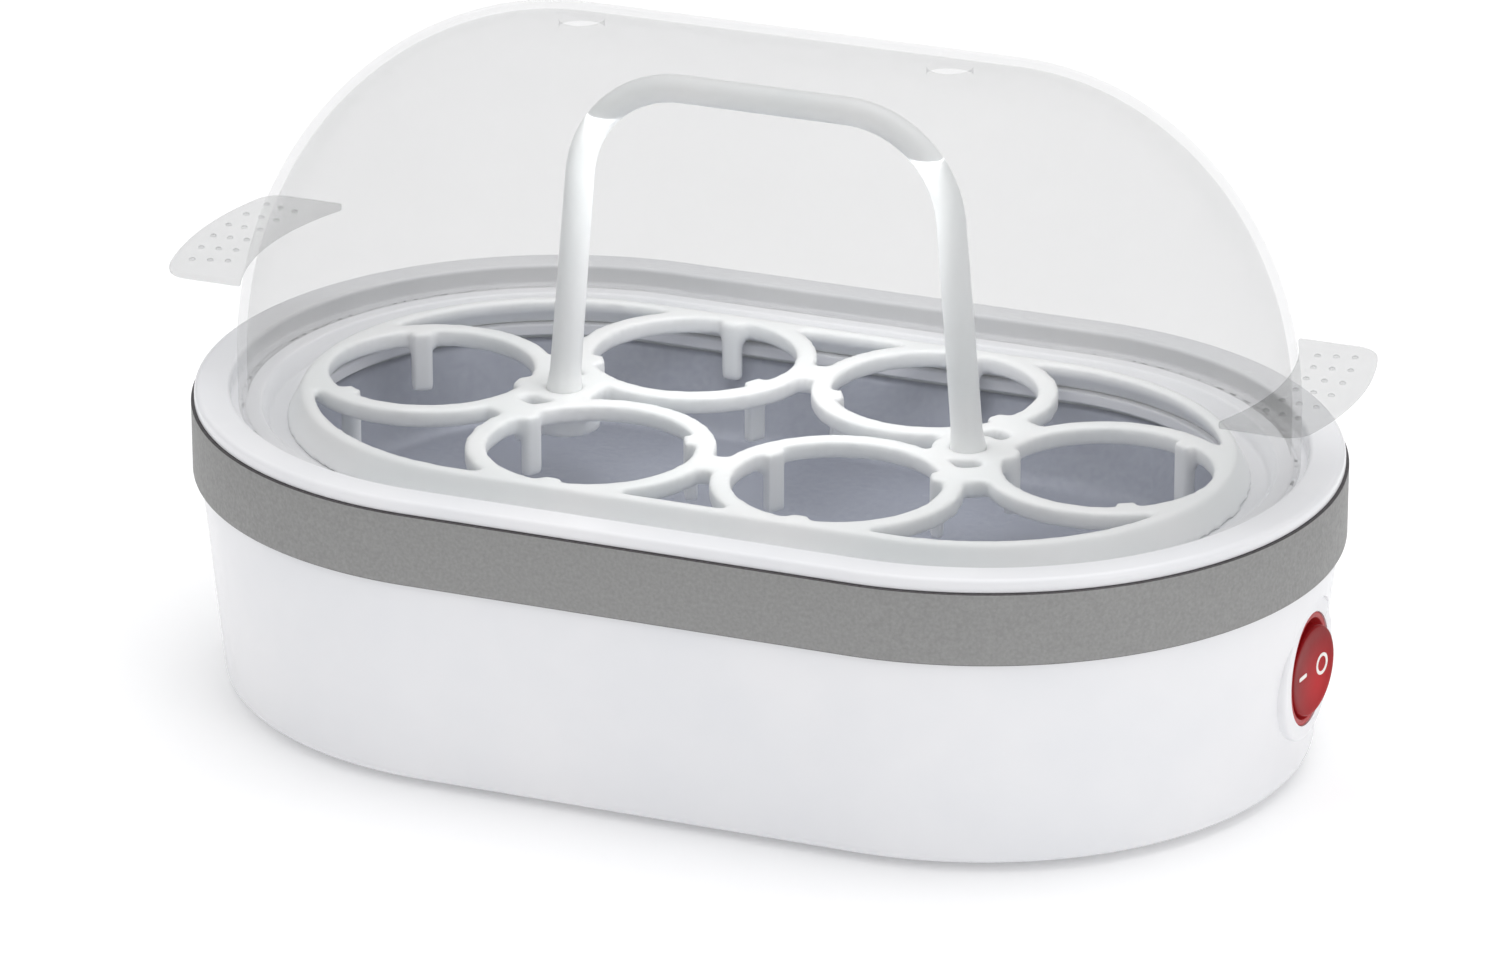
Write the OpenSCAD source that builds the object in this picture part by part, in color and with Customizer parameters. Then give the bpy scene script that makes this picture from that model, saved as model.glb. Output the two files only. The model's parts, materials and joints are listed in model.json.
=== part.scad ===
// Egg cooker for six eggs: an oval base with a heated water dish, a lift-out egg tray
// and a clear domed lid. Millimetres, +Z up, origin on the table under the middle.
// The switch faces +X, the cord gland is in the back wall (+Y).

/* [Overall size] */
// Length over the trim band
body_l = 220; // [200:1:264]
// Width over the trim band
body_w = 135; // [126:1:162]
// Height over the closed lid
total_h = 130; // [124:1:156]

/* [Base] */
// Height of the feet under the housing
foot_h = 1.5; // [1:0.1:2]
// Height of the trim band's lower edge above the table
band_z = 42.5; // [38.5:0.5:48]
// Height of the trim band
band_h = 13.7; // [12:0.1:16.5]
// Thickness of the trim band
band_t = 1.2; // [1:0.1:1.6]
// Wall of the housing
shell_t = 2.4; // [2:0.1:3]
// How far the housing's lower edge stands inside the band
foot_inset = 5.3; // [3:0.1:6.5]
// Radius of the housing's lower edge
edge_r = 4; // [3:0.5:5]
// Thickness of the bottom plate
bottom_t = 2.2; // [1.8:0.1:2.8]

/* [Collar and water dish] */
// Width of the collar's flat rim
rim_w = 7.3; // [6.5:0.1:8.5]
// Height of the collar above the band
rim_h = 2.4; // [2:0.1:3.5]
// Depth of the lid's seat under the rim
seat_depth = 3.5; // [3:0.1:4.2]
// Drop from the lid's seat to the tray's seat
tray_drop = 3.5; // [2.9:0.1:4.2]
// Sheet thickness of the heating plate
plate_t = 1; // [0.8:0.1:1.5]
// Depth of the water dish under its flange
dish_depth = 14.7; // [12.2:0.1:17.7]

/* [Egg tray] */
// Inner diameter of an egg ring
ring_d = 38.4; // [34:0.1:40]
// Wall of an egg ring
ring_t = 3.9; // [3.2:0.1:4.7]
// Height of an egg ring
ring_h = 3.6; // [3:0.1:4.4]
// Height of the ribs inside an egg ring
rib_h = 12; // [10:0.1:14.4]
// Height of the egg rings' top above the collar's rim, below zero when sunk
tray_rise = -1.4; // [-2.5:0.1:0]
// Distance between the middle egg rings along the length
ring_pitch = 48.4; // [46:0.1:54]
// Rod of the handle at its foot
rod_foot_d = 6.6; // [6:0.1:8]
// Rod of the handle along the arch
rod_d = 5.2; // [4.5:0.1:6]
// Distance between the handle's feet
handle_l = 80.4; // [78:0.1:84]
// Gap between the handle's top and the inside of the lid
handle_gap = 6.8; // [5:0.1:12]

/* [Lid] */
// Wall of the lid
lid_t = 1.8; // [1.5:0.1:2.5]
// Gap between the lid and the collar
lid_gap = 1.5; // [1:0.1:2]
// Reach of a grip beyond the lid's wall
grip_reach = 13.4; // [11:0.1:16]
// Width of a grip
grip_w = 45; // [37:1:54]
// Thickness of a grip
grip_t = 1.6; // [1.4:0.1:2.4]
// Diameter of a steam hole
steam_d = 8.5; // [6:0.5:10]
// Distance between the steam holes
steam_l = 72; // [60:1:84]

/* [Switch] */
// Diameter of the flat round pad around the switch
pad_d = 27; // [25.5:0.1:28]
// Height of the switch's middle above the table
switch_z = 23.5; // [22.5:0.5:25]
// Diameter of the rocker
rocker_d = 17; // [15:0.1:17.2]
// Tilt of the rocker to either side of its middle
rock = 8; // [6:0.5:9]

/* [Hidden] */
$fn = 96;
fine_fn = 32;          // for screws, pins and leads
fit = 0.2;             // gap between pieces that are fixed to each other
pin_fit = 0.05;        // radial play of a pin in its hole
cut = 1;               // how far a cutting tool overshoots

// Centres of the round ends, and the walls seen from them
half = (body_l - body_w) / 2;
band_r = body_w / 2;
shell_r = band_r - band_t - fit;
foot_r = band_r - foot_inset;
lean = atan((shell_r - foot_r) / (band_z - foot_h));
floor_z = foot_h + bottom_t;
plate_edge_r = foot_r - 5;
function wall_r(z) = foot_r + (min(z, band_z) - foot_h) * tan(lean);

// Collar heights and radii
band_top = band_z + band_h;
band_lip = 1;                              // thickness of the band's clamped lip
rim_top = band_top + rim_h;
seat_z = rim_top - seat_depth;
tray_seat_z = seat_z - tray_drop;
collar_t = 2.2;
well_r = band_r - rim_w;                   // the lid drops into this
seat_w = 5.7;                              // width of the lid's seat
dish_r = well_r - seat_w;                  // top of the well's inner wall
dish_taper = 1.6;
flange_r = dish_r - dish_taper;            // foot of the well's inner wall
flange_in_r = flange_r - 6.4;              // inner edge of the tray's seat
plug_r = shell_r - shell_t - fit;          // collar's skirt inside the housing

// Stack under the tray's seat
seal_t = 1.2;
seal_z = tray_seat_z - collar_t - seal_t;
plate_z = seal_z - plate_t;                // underside of the plate's flange
dish_z = plate_z - dish_depth;             // underside of the dish
dish_flat_r = flange_in_r - 5.5;
retainer_t = 1.5;
retainer_z = plate_z - retainer_t;
spread_t = 3;
spread_r = dish_flat_r - 7;
spread_z = dish_z - spread_t;
blind_depth = 2;                           // of the screw holes in the spreader
blind_grip = 1.8;

// Screws: shank radius, head radius, head height
screw_r = 1.45;
head_r = 2.8;
head_h = 1.8;
hole_r = screw_r + pin_fit;
boss_r = 3.2;
plate_screw_r = dish_r + boss_r - 1.2;     // from the end centres
collar_screw_r = plug_r - collar_t - 2;
collar_screw_a = 60;
retainer_grip = 5.5;                       // length of thread in the collar's bosses
collar_grip = 6.5;
grip_spare = 0.8;                          // hole beyond the screw's tip
plate_screw_a = 25;
lug_t = 4;
lug_z = retainer_z - lug_t - 0.8;
bottom_boss = [half * 0.7, plate_edge_r - 6];
boss_top = lug_z - 6;
foot_pad_r = 6;

// Heating element, a tube laid round under the spreader with its ends turned down
element_d = 6.4;
element_r = spread_r - 10;
element_half = half - 8;
element_z = spread_z - 0.8;
groove_fit = 0.05;
bend_r = 7;
terminal_x = 10;
element_drop = 4;
terminal_z = element_z - bend_r - element_drop;

// Controls under the spreader
thermostat_x = -half * 0.47;
thermostat_cap = [8.2, 3];
thermostat_can = [6.4, 8];
strap_t = 0.8;
strap_reach = 13;
fuse_x = half * 0.42;
sleeve_d = 5.4;
sleeve_l = 26;
fuse_z = spread_z - sleeve_d / 2 - 0.1;    // middle of the sleeve, against the spreader
clip_y = 8;
earth_at = [0, 14];

// Cord gland and clamp
gland_x = -half * 0.7 + 12;
gland_z = 16;
gland_d = 10;
cord_d = 6.4;
gland_pad = 20;
gland_proud = 1.1;                         // so that the leaning wall clears the gland's flange
gland_flange_t = 2;
gland_out_y = wall_r(gland_z) + gland_proud;
gland_in_y = plate_edge_r + 1;
block_at = [-half - 14, 12, floor_z];
block_size = [26, 22, 12];
block_pitch = 8;
clamp_at = [0, 16, 6];                     // clamp's underside from the terminal block
clamp_t = 3;
clamp_reach = 8;

// Switch, seen from the rocker's pivot with +X outward
pad_x = half + wall_r(switch_z) + 0.1;
pad_t = 5;
pivot_x = pad_x - 4;
face_x = 5;                                // rocker's face in front of the pivot
rocker_r = rocker_d / 2;
cup_r = rocker_r + 1;                      // inside of the switch housing
cup_t = 1;
cup_back = -14;
cup_floor = 2;
flange_x = pivot_x - pad_x;
pin_r = 1.2;
blade_x = -10.9;
blade_tilt = rock * 0.625;
tab_w = 4.8;
tab_t = 0.8;
switch_flange_r = cup_r + cup_t + 1.2;
switch_flange_t = 1.5;
hook_t = 1.4;                              // snap hooks behind the switch's flange
hook_w = 6;
hook_tip = 1.2;
hook_x = -flange_x - pad_t - switch_flange_t - 0.1 - hook_tip;

// Ends of the leads
tab_foot = spread_z - thermostat_cap[1] - thermostat_can[1] - 6;
spade_foot = terminal_z - 8;               // lower end of the element's spade terminals
low_z = floor_z + 3;                       // height at which leads lie over the bottom plate
switch_back = pivot_x + cup_back - cup_floor - 9;

// Lid
lid_r = well_r - lid_gap;
dome_z = total_h - lid_r;                  // where the wall turns into the dome
grip_z = dome_z + 5.5;
grip_r = lid_r + grip_reach;
grip_corner = 5;
dot_rows = 3;
dot_count = 6;

// Egg tray
tray_top = rim_top + tray_rise;
skirt_t = 2;
skirt_r = flange_r - 3;                    // outer foot of the skirt
skirt_top_r = skirt_r - 2.4;
ring_r = ring_d / 2;
ring_out = ring_r + ring_t;
ring_bite = 0.5;                           // how far a ring runs into the skirt's lip
ring_y = skirt_top_r - ring_out + ring_bite;
end_ring_x = half + ring_y;
socket_r = rod_foot_d / 2 + 3.4;
socket_h = 8;
rings = [for (sx = [-1, 1]) each [
    [sx * end_ring_x, 0, sx > 0 ? 180 : 0],
    [sx * ring_pitch / 2, ring_y, 90],
    [sx * ring_pitch / 2, -ring_y, -90]]];

// Handle: two leaning legs, two bends and a bar
leg_lean = 4.8;
handle_top = total_h - lid_t - handle_gap - rod_d / 2;
handle_bend = 20.5;
leg_foot = tray_top - socket_h + 1;
leg_end_z = handle_top - handle_bend + handle_bend * sin(leg_lean);
leg_end_x = handle_l / 2 - (leg_end_z - tray_top) * tan(leg_lean);
bend_x = leg_end_x - handle_bend * cos(leg_lean);

// ---- shared shapes ----

// Flat oval: two round ends of radius r and the straight between them
module oval(r, reach = half) {
    square([2 * reach, 2 * r], center = true);
    for (sx = [-1, 1])
        translate([sx * reach, 0]) circle(r);
}

// Plate of that outline from height z upwards
module oval_plate(r, z, t, reach = half) {
    translate([0, 0, z]) linear_extrude(t) oval(r, reach);
}

// Carries a flat profile (distance from the long axis, height) right round the oval
module around(reach = half) {
    for (sx = [-1, 1])
        translate([sx * reach, 0, 0]) rotate([0, 0, -90 * sx]) rotate_extrude(angle = 180) children();
    for (sy = [0, 1])
        mirror([0, sy, 0]) translate([-reach, 0, 0]) rotate([90, 0, 90])
            linear_extrude(2 * reach) children();
}

// Places on the oval: at an angle on both round ends, both sides
module at_ends(r, angle) {
    for (sx = [0, 1], sy = [0, 1])
        mirror([sx, 0, 0]) mirror([0, sy, 0])
            translate([half + r * cos(angle), r * sin(angle), 0]) children();
}

// The retainer's screw places
module at_retainer_screws() {
    at_ends(plate_screw_r, plate_screw_a) children();
    for (sy = [-1, 1])
        translate([0, sy * plate_screw_r, 0]) children();
}

// The four bottom screw places
module at_bottom_screws() {
    for (sx = [-1, 1], sy = [-1, 1])
        translate([sx * bottom_boss[0], sy * bottom_boss[1], 0]) children();
}

// Pan head screw pointing up, its head under z = 0, with a cross recess
module screw(length) {
    difference() {
        union() {
            translate([0, 0, -head_h])
                cylinder(h = head_h, r1 = head_r - 0.5, r2 = head_r, $fn = fine_fn);
            cylinder(h = length, r = screw_r, $fn = fine_fn);
        }
        for (turn = [0, 90])
            rotate([0, 0, turn]) translate([-1.6, -0.3, -head_h - cut]) cube([3.2, 0.6, cut + 0.9]);
    }
}

// Points of a smooth curve through a list of points, four steps to each stretch
function between(p, i, t) =
    let (a = p[max(i - 1, 0)], b = p[i], c = p[i + 1], d = p[min(i + 2, len(p) - 1)])
    0.5 * (2 * b + t * (c - a) + t * t * (2 * a - 5 * b + 4 * c - d)
        + t * t * t * (3 * b - a - 3 * c + d));
function smooth(p, steps = 4) =
    [for (i = [0 : len(p) - 2], k = [0 : steps - 1]) between(p, i, k / steps), p[len(p) - 1]];

// A side direction carried along the curve without turning about it
function carried(along, side, i = 0) =
    i == len(along) ? [] :
    let (v = side - (side * along[i]) * along[i], u = v / norm(v))
    concat([u], carried(along, u, i + 1));

// Closed round tube through a list of points, with one radius for each point
module tube(p, radii, sides = 8) {
    n = len(p);
    along = [for (i = [0 : n - 1]) let (d = p[min(i + 1, n - 1)] - p[max(i - 1, 0)]) d / norm(d)];
    start = abs(along[0][2]) < 0.9 ? [0, 0, 1] : [1, 0, 0];
    side = carried(along, start);
    points = [for (i = [0 : n - 1]) let (other = cross(along[i], side[i])) for (k = [0 : sides - 1])
        p[i] + radii[i] * (cos(k * 360 / sides) * side[i] + sin(k * 360 / sides) * other)];
    walls = [for (i = [0 : n - 2]) for (k = [0 : sides - 1]) let (m = (k + 1) % sides) each [
        [i * sides + m, i * sides + k, (i + 1) * sides + m],
        [(i + 1) * sides + m, i * sides + k, (i + 1) * sides + k]]];
    ends = [[for (k = [0 : sides - 1]) k], [for (k = [sides - 1 : -1 : 0]) (n - 1) * sides + k]];
    polyhedron(points, concat(walls, ends));
}

// Insulated lead through a list of points
module lead(points, r = 1.1) {
    line = smooth(points);
    tube(line, [for (p = line) r]);
}

// Moves into the switch's own frame
module at_switch() {
    translate([pivot_x, 0, switch_z]) children();
}

// Round bar along X from a to b
module bar_x(a, b, r) {
    translate([a, 0, 0]) rotate([0, 90, 0]) cylinder(h = b - a, r = r);
}

// ---- base ----

// Section of the housing's wall: lip, rounded edge, leaning wall, upright wall
module housing_profile() {
    edge_x = foot_r + edge_r * tan(lean) - edge_r / cos(lean);
    edge_z = foot_h + edge_r;
    steps = 8;
    turn = 90 - lean;
    edge = [for (i = [0 : steps]) let (a = i * turn / steps - 90)
        [edge_x + edge_r * cos(a), edge_z + edge_r * sin(a)]];
    polygon(concat(
        [[plate_edge_r, foot_h]], edge,
        [[shell_r, band_z], [shell_r, band_top - band_lip], [shell_r - shell_t, band_top - band_lip],
         [shell_r - shell_t, band_z], [wall_r(edge_z) - shell_t, edge_z],
         [edge_x - 0.5, foot_h + shell_t], [plate_edge_r, foot_h + shell_t]]));
}

// Screw boss with a rib to the wall, at one bottom screw place
module bottom_screw_boss() {
    translate([0, 0, floor_z]) cylinder(h = boss_top - floor_z, r = boss_r + 0.4);
    rib = shell_t / 2;
    translate([-1, -bottom_boss[1], 0]) rotate([90, 0, 90]) linear_extrude(2)
        polygon([[bottom_boss[1], floor_z + shell_t],
                 [wall_r(floor_z + shell_t) - rib, floor_z + shell_t],
                 [wall_r(boss_top) - rib, boss_top], [bottom_boss[1], boss_top]]);
}

// Lug that a collar screw passes through
module collar_lug() {
    translate([collar_screw_r, 0, lug_z]) {
        cylinder(h = lug_t, r = boss_r + 0.8);
        translate([0, -boss_r - 0.8, 0])
            cube([wall_r(lug_z) - shell_t / 2 - collar_screw_r, 2 * boss_r + 1.6, lug_t]);
    }
}

module base_housing() {
    color("white") difference() {
        union() {
            around() housing_profile();
            for (sx = [0, 1], sy = [0, 1])
                mirror([sx, 0, 0]) mirror([0, sy, 0]) {
                    translate([bottom_boss[0], bottom_boss[1], 0]) bottom_screw_boss();
                    translate([half, 0, 0]) rotate([0, 0, collar_screw_a]) collar_lug();
                }
            // round pad for the switch, with two snap hooks behind it
            at_switch() {
                bar_x(-flange_x - pad_t, -flange_x - 0.8, pad_d / 2);
                bar_x(-flange_x - 0.8, -flange_x, pad_d / 2 - 0.8);
                translate([-flange_x - 0.8, 0, 0]) rotate([0, 90, 0])
                    rotate_extrude() translate([pad_d / 2 - 0.8, 0]) circle(0.8, $fn = 48);
                bar_x(-flange_x - pad_t, -flange_x - pad_t + 1.5, switch_flange_r + fit + hook_t);
                for (sz = [0, 1])
                    mirror([0, 0, sz]) {
                        translate([hook_x, -hook_w / 2, switch_flange_r + fit])
                            cube([-flange_x - pad_t + 0.5 - hook_x, hook_w, hook_t]);
                        translate([hook_x, -hook_w / 2, switch_flange_r - 0.6])
                            cube([hook_tip, hook_w, fit + 1]);
                    }
            }
            // round pad for the cord gland
            translate([gland_x, plate_edge_r + 1, gland_z]) rotate([-90, 0, 0])
                cylinder(h = wall_r(gland_z) + gland_proud - plate_edge_r - 1, r = gland_pad / 2);
        }
        at_bottom_screws() translate([0, 0, floor_z - cut]) cylinder(h = 16, r = hole_r, $fn = fine_fn);
        at_ends(collar_screw_r, collar_screw_a)
            translate([0, 0, lug_z - cut]) cylinder(h = lug_t + 2 * cut, r = hole_r, $fn = fine_fn);
        at_switch() {
            bar_x(-flange_x, -flange_x + 8, pad_d / 2);
            bar_x(-flange_x - pad_t - cut, -flange_x + cut, cup_r + cup_t + fit / 2);
        }
        translate([gland_x, plate_edge_r - cut, gland_z]) rotate([-90, 0, 0])
            cylinder(h = 16, r = gland_d / 2 + fit / 2);
    }
}

module bottom_plate() {
    vent_l = 18;
    color("whitesmoke") difference() {
        union() {
            oval_plate(plate_edge_r - fit, foot_h, bottom_t);
            translate(block_at) clamp_posts();
        }
        at_bottom_screws() {
            translate([0, 0, foot_h - cut]) cylinder(h = bottom_t + 2 * cut, r = hole_r, $fn = fine_fn);
            translate([0, 0, foot_h - cut]) cylinder(h = cut + 1, r = head_r + fit);
        }
        at_feet() translate([0, 0, foot_h - cut]) cylinder(h = cut + 1, r = foot_pad_r + pin_fit);
        at_feet() translate([0, 0, foot_h - cut]) cylinder(h = bottom_t + 2 * cut, r = 2 + pin_fit);
        for (i = [-3 : 3])
            translate([i * 7 - 1.2, -vent_l / 2, foot_h - cut]) cube([2.4, vent_l, bottom_t + 2 * cut]);
    }
}

module at_feet() {
    for (sx = [-1, 1], sy = [-1, 1])
        translate([sx * (half + 18), sy * (plate_edge_r - 22), 0]) children();
}

module rubber_feet() {
    color("dimgray") at_feet() {
        cylinder(h = 0.5, r1 = foot_pad_r - 0.5, r2 = foot_pad_r);
        translate([0, 0, 0.5]) cylinder(h = foot_h + 0.5, r = foot_pad_r);
        translate([0, 0, foot_h]) cylinder(h = bottom_t, r = 2, $fn = fine_fn);
        translate([0, 0, floor_z]) cylinder(h = 1.2, r1 = 2.8, r2 = 1.4, $fn = fine_fn);
    }
}

module bottom_screws() {
    color("silver") at_bottom_screws()
        translate([0, 0, foot_h + 1]) screw(14);
}

module trim_band() {
    color("darkgray") around() {
        translate([band_r - band_t, band_z]) square([band_t, band_h]);
        translate([shell_r - shell_t, band_top - band_lip])
            square([band_r - shell_r + shell_t, band_lip]);
    }
}

// ---- collar, plate and its fixing ----

module top_collar() {
    round_r = 2;
    edge_r1 = band_r - 0.6;
    color("white") difference() {
        union() {
            around() {
                // rim with its rounded outer edge
                difference() {
                    polygon([[well_r, band_top], [edge_r1, band_top], [edge_r1, rim_top - round_r],
                             [edge_r1 - round_r, rim_top - round_r], [edge_r1 - round_r, rim_top],
                             [well_r, rim_top]]);
                    translate([well_r, rim_top - 0.8]) square(0.8);
                }
                intersection() {
                    translate([edge_r1 - round_r, rim_top - round_r]) circle(round_r);
                    translate([edge_r1 - round_r, rim_top - round_r]) square(round_r + cut);
                }
                translate([well_r + 0.8, rim_top - 0.8]) circle(0.8, $fn = 48);
                // lid's seat, well wall, tray's seat and skirt
                polygon([[well_r, seat_z - collar_t], [plug_r, seat_z - collar_t], [plug_r, band_top],
                         [well_r, band_top], [well_r, seat_z], [dish_r, seat_z],
                         [flange_r, tray_seat_z], [flange_in_r, tray_seat_z],
                         [flange_in_r, tray_seat_z - collar_t],
                         [flange_r + collar_t, tray_seat_z - collar_t],
                         [dish_r + collar_t, seat_z - collar_t]]);
                translate([plug_r - collar_t, band_top - 10.5])
                    square([collar_t, 10.5]);
            }
            at_retainer_screws() translate([0, 0, plate_z])
                cylinder(h = seat_z - collar_t + 0.1 - plate_z, r = boss_r);
            at_ends(collar_screw_r, collar_screw_a) translate([0, 0, lug_z + lug_t])
                cylinder(h = seat_z - collar_t + 0.1 - lug_z - lug_t, r = boss_r);
        }
        at_retainer_screws() translate([0, 0, plate_z - cut])
            cylinder(h = retainer_grip + grip_spare + cut, r = hole_r, $fn = fine_fn);
        at_ends(collar_screw_r, collar_screw_a) translate([0, 0, lug_z + lug_t - cut])
            cylinder(h = collar_grip + grip_spare + cut, r = hole_r, $fn = fine_fn);
    }
}

module collar_screws() {
    color("silver") at_ends(collar_screw_r, collar_screw_a)
        translate([0, 0, lug_z]) screw(lug_t + collar_grip);
}

module heating_plate() {
    color("slategray") union() {
        around() polygon([
            [flange_r + 0.2, plate_z], [flange_r + 0.2, seal_z], [flange_in_r + 1, seal_z],
            [dish_flat_r, dish_z + plate_t], [dish_flat_r - 1, dish_z + plate_t],
            [dish_flat_r - 1, dish_z], [dish_flat_r + 0.6, dish_z], [flange_in_r + 1.6, plate_z]]);
        oval_plate(dish_flat_r - 0.5, dish_z, plate_t);
    }
}

module plate_seal() {
    color("gainsboro") around() translate([flange_in_r + 2, seal_z])
        square([flange_r - flange_in_r - 3, seal_t]);
}

module plate_retainer() {
    color("silver") difference() {
        oval_plate(plate_screw_r + boss_r, retainer_z, retainer_t);
        oval_plate(flange_in_r + 2.6, retainer_z - cut, retainer_t + 2 * cut);
        at_retainer_screws() translate([0, 0, retainer_z - cut])
            cylinder(h = retainer_t + 2 * cut, r = hole_r, $fn = fine_fn);
        at_ends(collar_screw_r, collar_screw_a) translate([0, 0, retainer_z - cut])
            cylinder(h = retainer_t + 2 * cut, r = boss_r + 0.6);
    }
}

module retainer_screws() {
    color("silver") at_retainer_screws() translate([0, 0, retainer_z]) screw(retainer_t + retainer_grip);
}

// ---- heater and its controls ----

// Tube that follows the element's route, used for the element and for its groove
module element_tube(r) {
    for (sx = [0, 1])
        mirror([sx, 0, 0]) {
            translate([element_half, 0, element_z]) rotate([0, 0, -90])
                rotate_extrude(angle = 180) translate([element_r, 0]) circle(r, $fn = 48);
            translate([0, element_r, element_z]) rotate([0, 90, 0])
                cylinder(h = element_half, r = r, $fn = 48);
            translate([terminal_x + bend_r, -element_r, element_z]) rotate([0, 90, 0])
                cylinder(h = element_half - terminal_x - bend_r, r = r, $fn = 48);
            translate([terminal_x + bend_r, -element_r, element_z - bend_r]) rotate([90, 0, 0])
                rotate([0, 0, 90]) rotate_extrude(angle = 90) translate([bend_r, 0]) circle(r, $fn = 48);
            translate([terminal_x, -element_r, terminal_z]) cylinder(h = element_drop, r = r, $fn = 48);
        }
}

module at_terminals() {
    for (sx = [-1, 1])
        translate([sx * terminal_x, -element_r, 0]) children();
}

// Screw hole in the spreader's underside
module blind_hole() {
    translate([0, 0, spread_z - cut]) cylinder(h = blind_depth + cut, r = hole_r, $fn = fine_fn);
}

module heat_spreader() {
    color("lightgray") difference() {
        oval_plate(spread_r, spread_z, spread_t);
        element_tube(element_d / 2 + groove_fit);
        at_strap_screws() blind_hole();
        translate([fuse_x, clip_y, 0]) blind_hole();
        translate([earth_at[0], earth_at[1], 0]) blind_hole();
    }
}

module heating_element() {
    color("gray") element_tube(element_d / 2);
}

module element_insulators() {
    color("ivory") at_terminals() difference() {
        translate([0, 0, terminal_z - 3]) cylinder(h = 3, r = element_d / 2 + 0.4);
        translate([0, 0, terminal_z - 3 - cut]) cylinder(h = 3 + 2 * cut, r = 1 + pin_fit, $fn = fine_fn);
    }
}

module element_terminals() {
    color("silver") at_terminals() {
        translate([0, 0, terminal_z - 4]) cylinder(h = 4, r = 1, $fn = fine_fn);
        translate([-tab_w / 2, -tab_t / 2, spade_foot]) cube([tab_w, tab_t, 4.5]);
    }
}

module thermostat() {
    color("dimgray") translate([thermostat_x, 0, spread_z]) {
        translate([0, 0, -thermostat_cap[1]]) cylinder(h = thermostat_cap[1], r = thermostat_cap[0]);
        translate([0, 0, -thermostat_cap[1] - thermostat_can[1]])
            cylinder(h = thermostat_can[1], r = thermostat_can[0]);
        for (sy = [-1, 1])
            translate([-tab_w / 2, sy * 4 - tab_t / 2, -thermostat_cap[1] - thermostat_can[1] - 6])
                cube([tab_w, tab_t, 6.5]);
    }
}

module at_strap_screws() {
    for (sx = [-1, 1])
        translate([thermostat_x + sx * strap_reach, 0, 0]) children();
}

module thermostat_strap() {
    wide = thermostat_cap[0] + 1;
    low = thermostat_cap[1] + strap_t;
    strap_w = 2 * thermostat_can[0] + 4.4;
    color("silver") translate([thermostat_x, 0, spread_z]) difference() {
        rotate([90, 0, 0]) translate([0, 0, -strap_w / 2]) linear_extrude(strap_w) {
            for (sx = [0, 1])
                mirror([sx, 0]) {
                    translate([wide, -strap_t]) square([strap_reach + 4 - wide, strap_t]);
                    translate([wide, -low]) square([strap_t, low]);
                }
            translate([-wide, -low]) square([2 * wide, strap_t]);
        }
        translate([0, 0, -low - cut]) cylinder(h = strap_t + 2 * cut, r = thermostat_can[0] + fit);
        for (sx = [-1, 1])
            translate([sx * strap_reach, 0, -strap_t - cut])
                cylinder(h = strap_t + 2 * cut, r = hole_r, $fn = fine_fn);
    }
}

module strap_screws() {
    color("silver") at_strap_screws() translate([0, 0, spread_z - strap_t]) screw(strap_t + blind_grip);
}

module fuse_sleeve() {
    color("khaki") translate([fuse_x - sleeve_l / 2, 0, fuse_z]) rotate([0, 90, 0]) difference() {
        cylinder(h = sleeve_l, r = sleeve_d / 2);
        translate([0, 0, -cut]) cylinder(h = sleeve_l + 2 * cut, r = 2.1);
    }
}

module thermal_fuse() {
    color("silver") translate([fuse_x, 0, fuse_z]) rotate([0, 90, 0]) {
        translate([0, 0, -5.5]) cylinder(h = 11, r = 2);
        translate([0, 0, -sleeve_l / 2 - 1]) cylinder(h = sleeve_l + 2, r = 0.5, $fn = fine_fn);
    }
}

module fuse_clip() {
    clip_w = 6;
    out_r = sleeve_d / 2 + 0.1 + strap_t;
    color("silver") translate([fuse_x - clip_w / 2, 0, fuse_z]) difference() {
        rotate([90, 0, 90]) linear_extrude(clip_w) difference() {
            union() {
                circle(out_r);
                translate([-out_r, 0]) square([2 * out_r, sleeve_d / 2 + 0.1]);
                translate([0, sleeve_d / 2 + 0.1 - strap_t]) square([12, strap_t]);
            }
            circle(sleeve_d / 2 + 0.1);
            translate([-sleeve_d / 2 - 0.1, 0]) square([sleeve_d + 0.2, sleeve_d]);
            translate([-out_r - cut, sleeve_d / 2 + 0.1]) square([2 * out_r + 2 * cut, out_r]);
        }
        translate([clip_w / 2, clip_y, 0]) cylinder(h = 6, r = hole_r, $fn = fine_fn);
    }
}

module clip_screw() {
    color("silver") translate([fuse_x, clip_y, spread_z - strap_t]) screw(strap_t + blind_grip);
}

module earth_tag() {
    color("goldenrod") translate([earth_at[0], earth_at[1], spread_z - strap_t])
        linear_extrude(strap_t) difference() {
            union() {
                circle(3.4);
                translate([0, -2]) square([9, 4]);
            }
            circle(hole_r);
        }
}

module earth_screw() {
    color("silver") translate([earth_at[0], earth_at[1], spread_z - strap_t]) screw(strap_t + blind_grip);
}

// ---- cord entry, terminal block and leads ----

module cord_gland() {
    color("whitesmoke") translate([gland_x, gland_out_y, gland_z]) rotate([90, 0, 0]) difference() {
        union() {
            translate([0, 0, -gland_flange_t]) cylinder(h = gland_flange_t, r = gland_d / 2 + 2.8);
            cylinder(h = gland_out_y - gland_in_y + 7, r = gland_d / 2);
        }
        translate([0, 0, -gland_flange_t - cut]) cylinder(h = 30, r = cord_d / 2 + fit / 2);
    }
}

module gland_nut() {
    color("lightgray") translate([gland_x, gland_in_y, gland_z]) rotate([90, 0, 0]) difference() {
        cylinder(h = 4, r = gland_d / 2 + 3, $fn = 6);
        translate([0, 0, -cut]) cylinder(h = 4 + 2 * cut, r = gland_d / 2 + pin_fit);
    }
}

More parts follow.
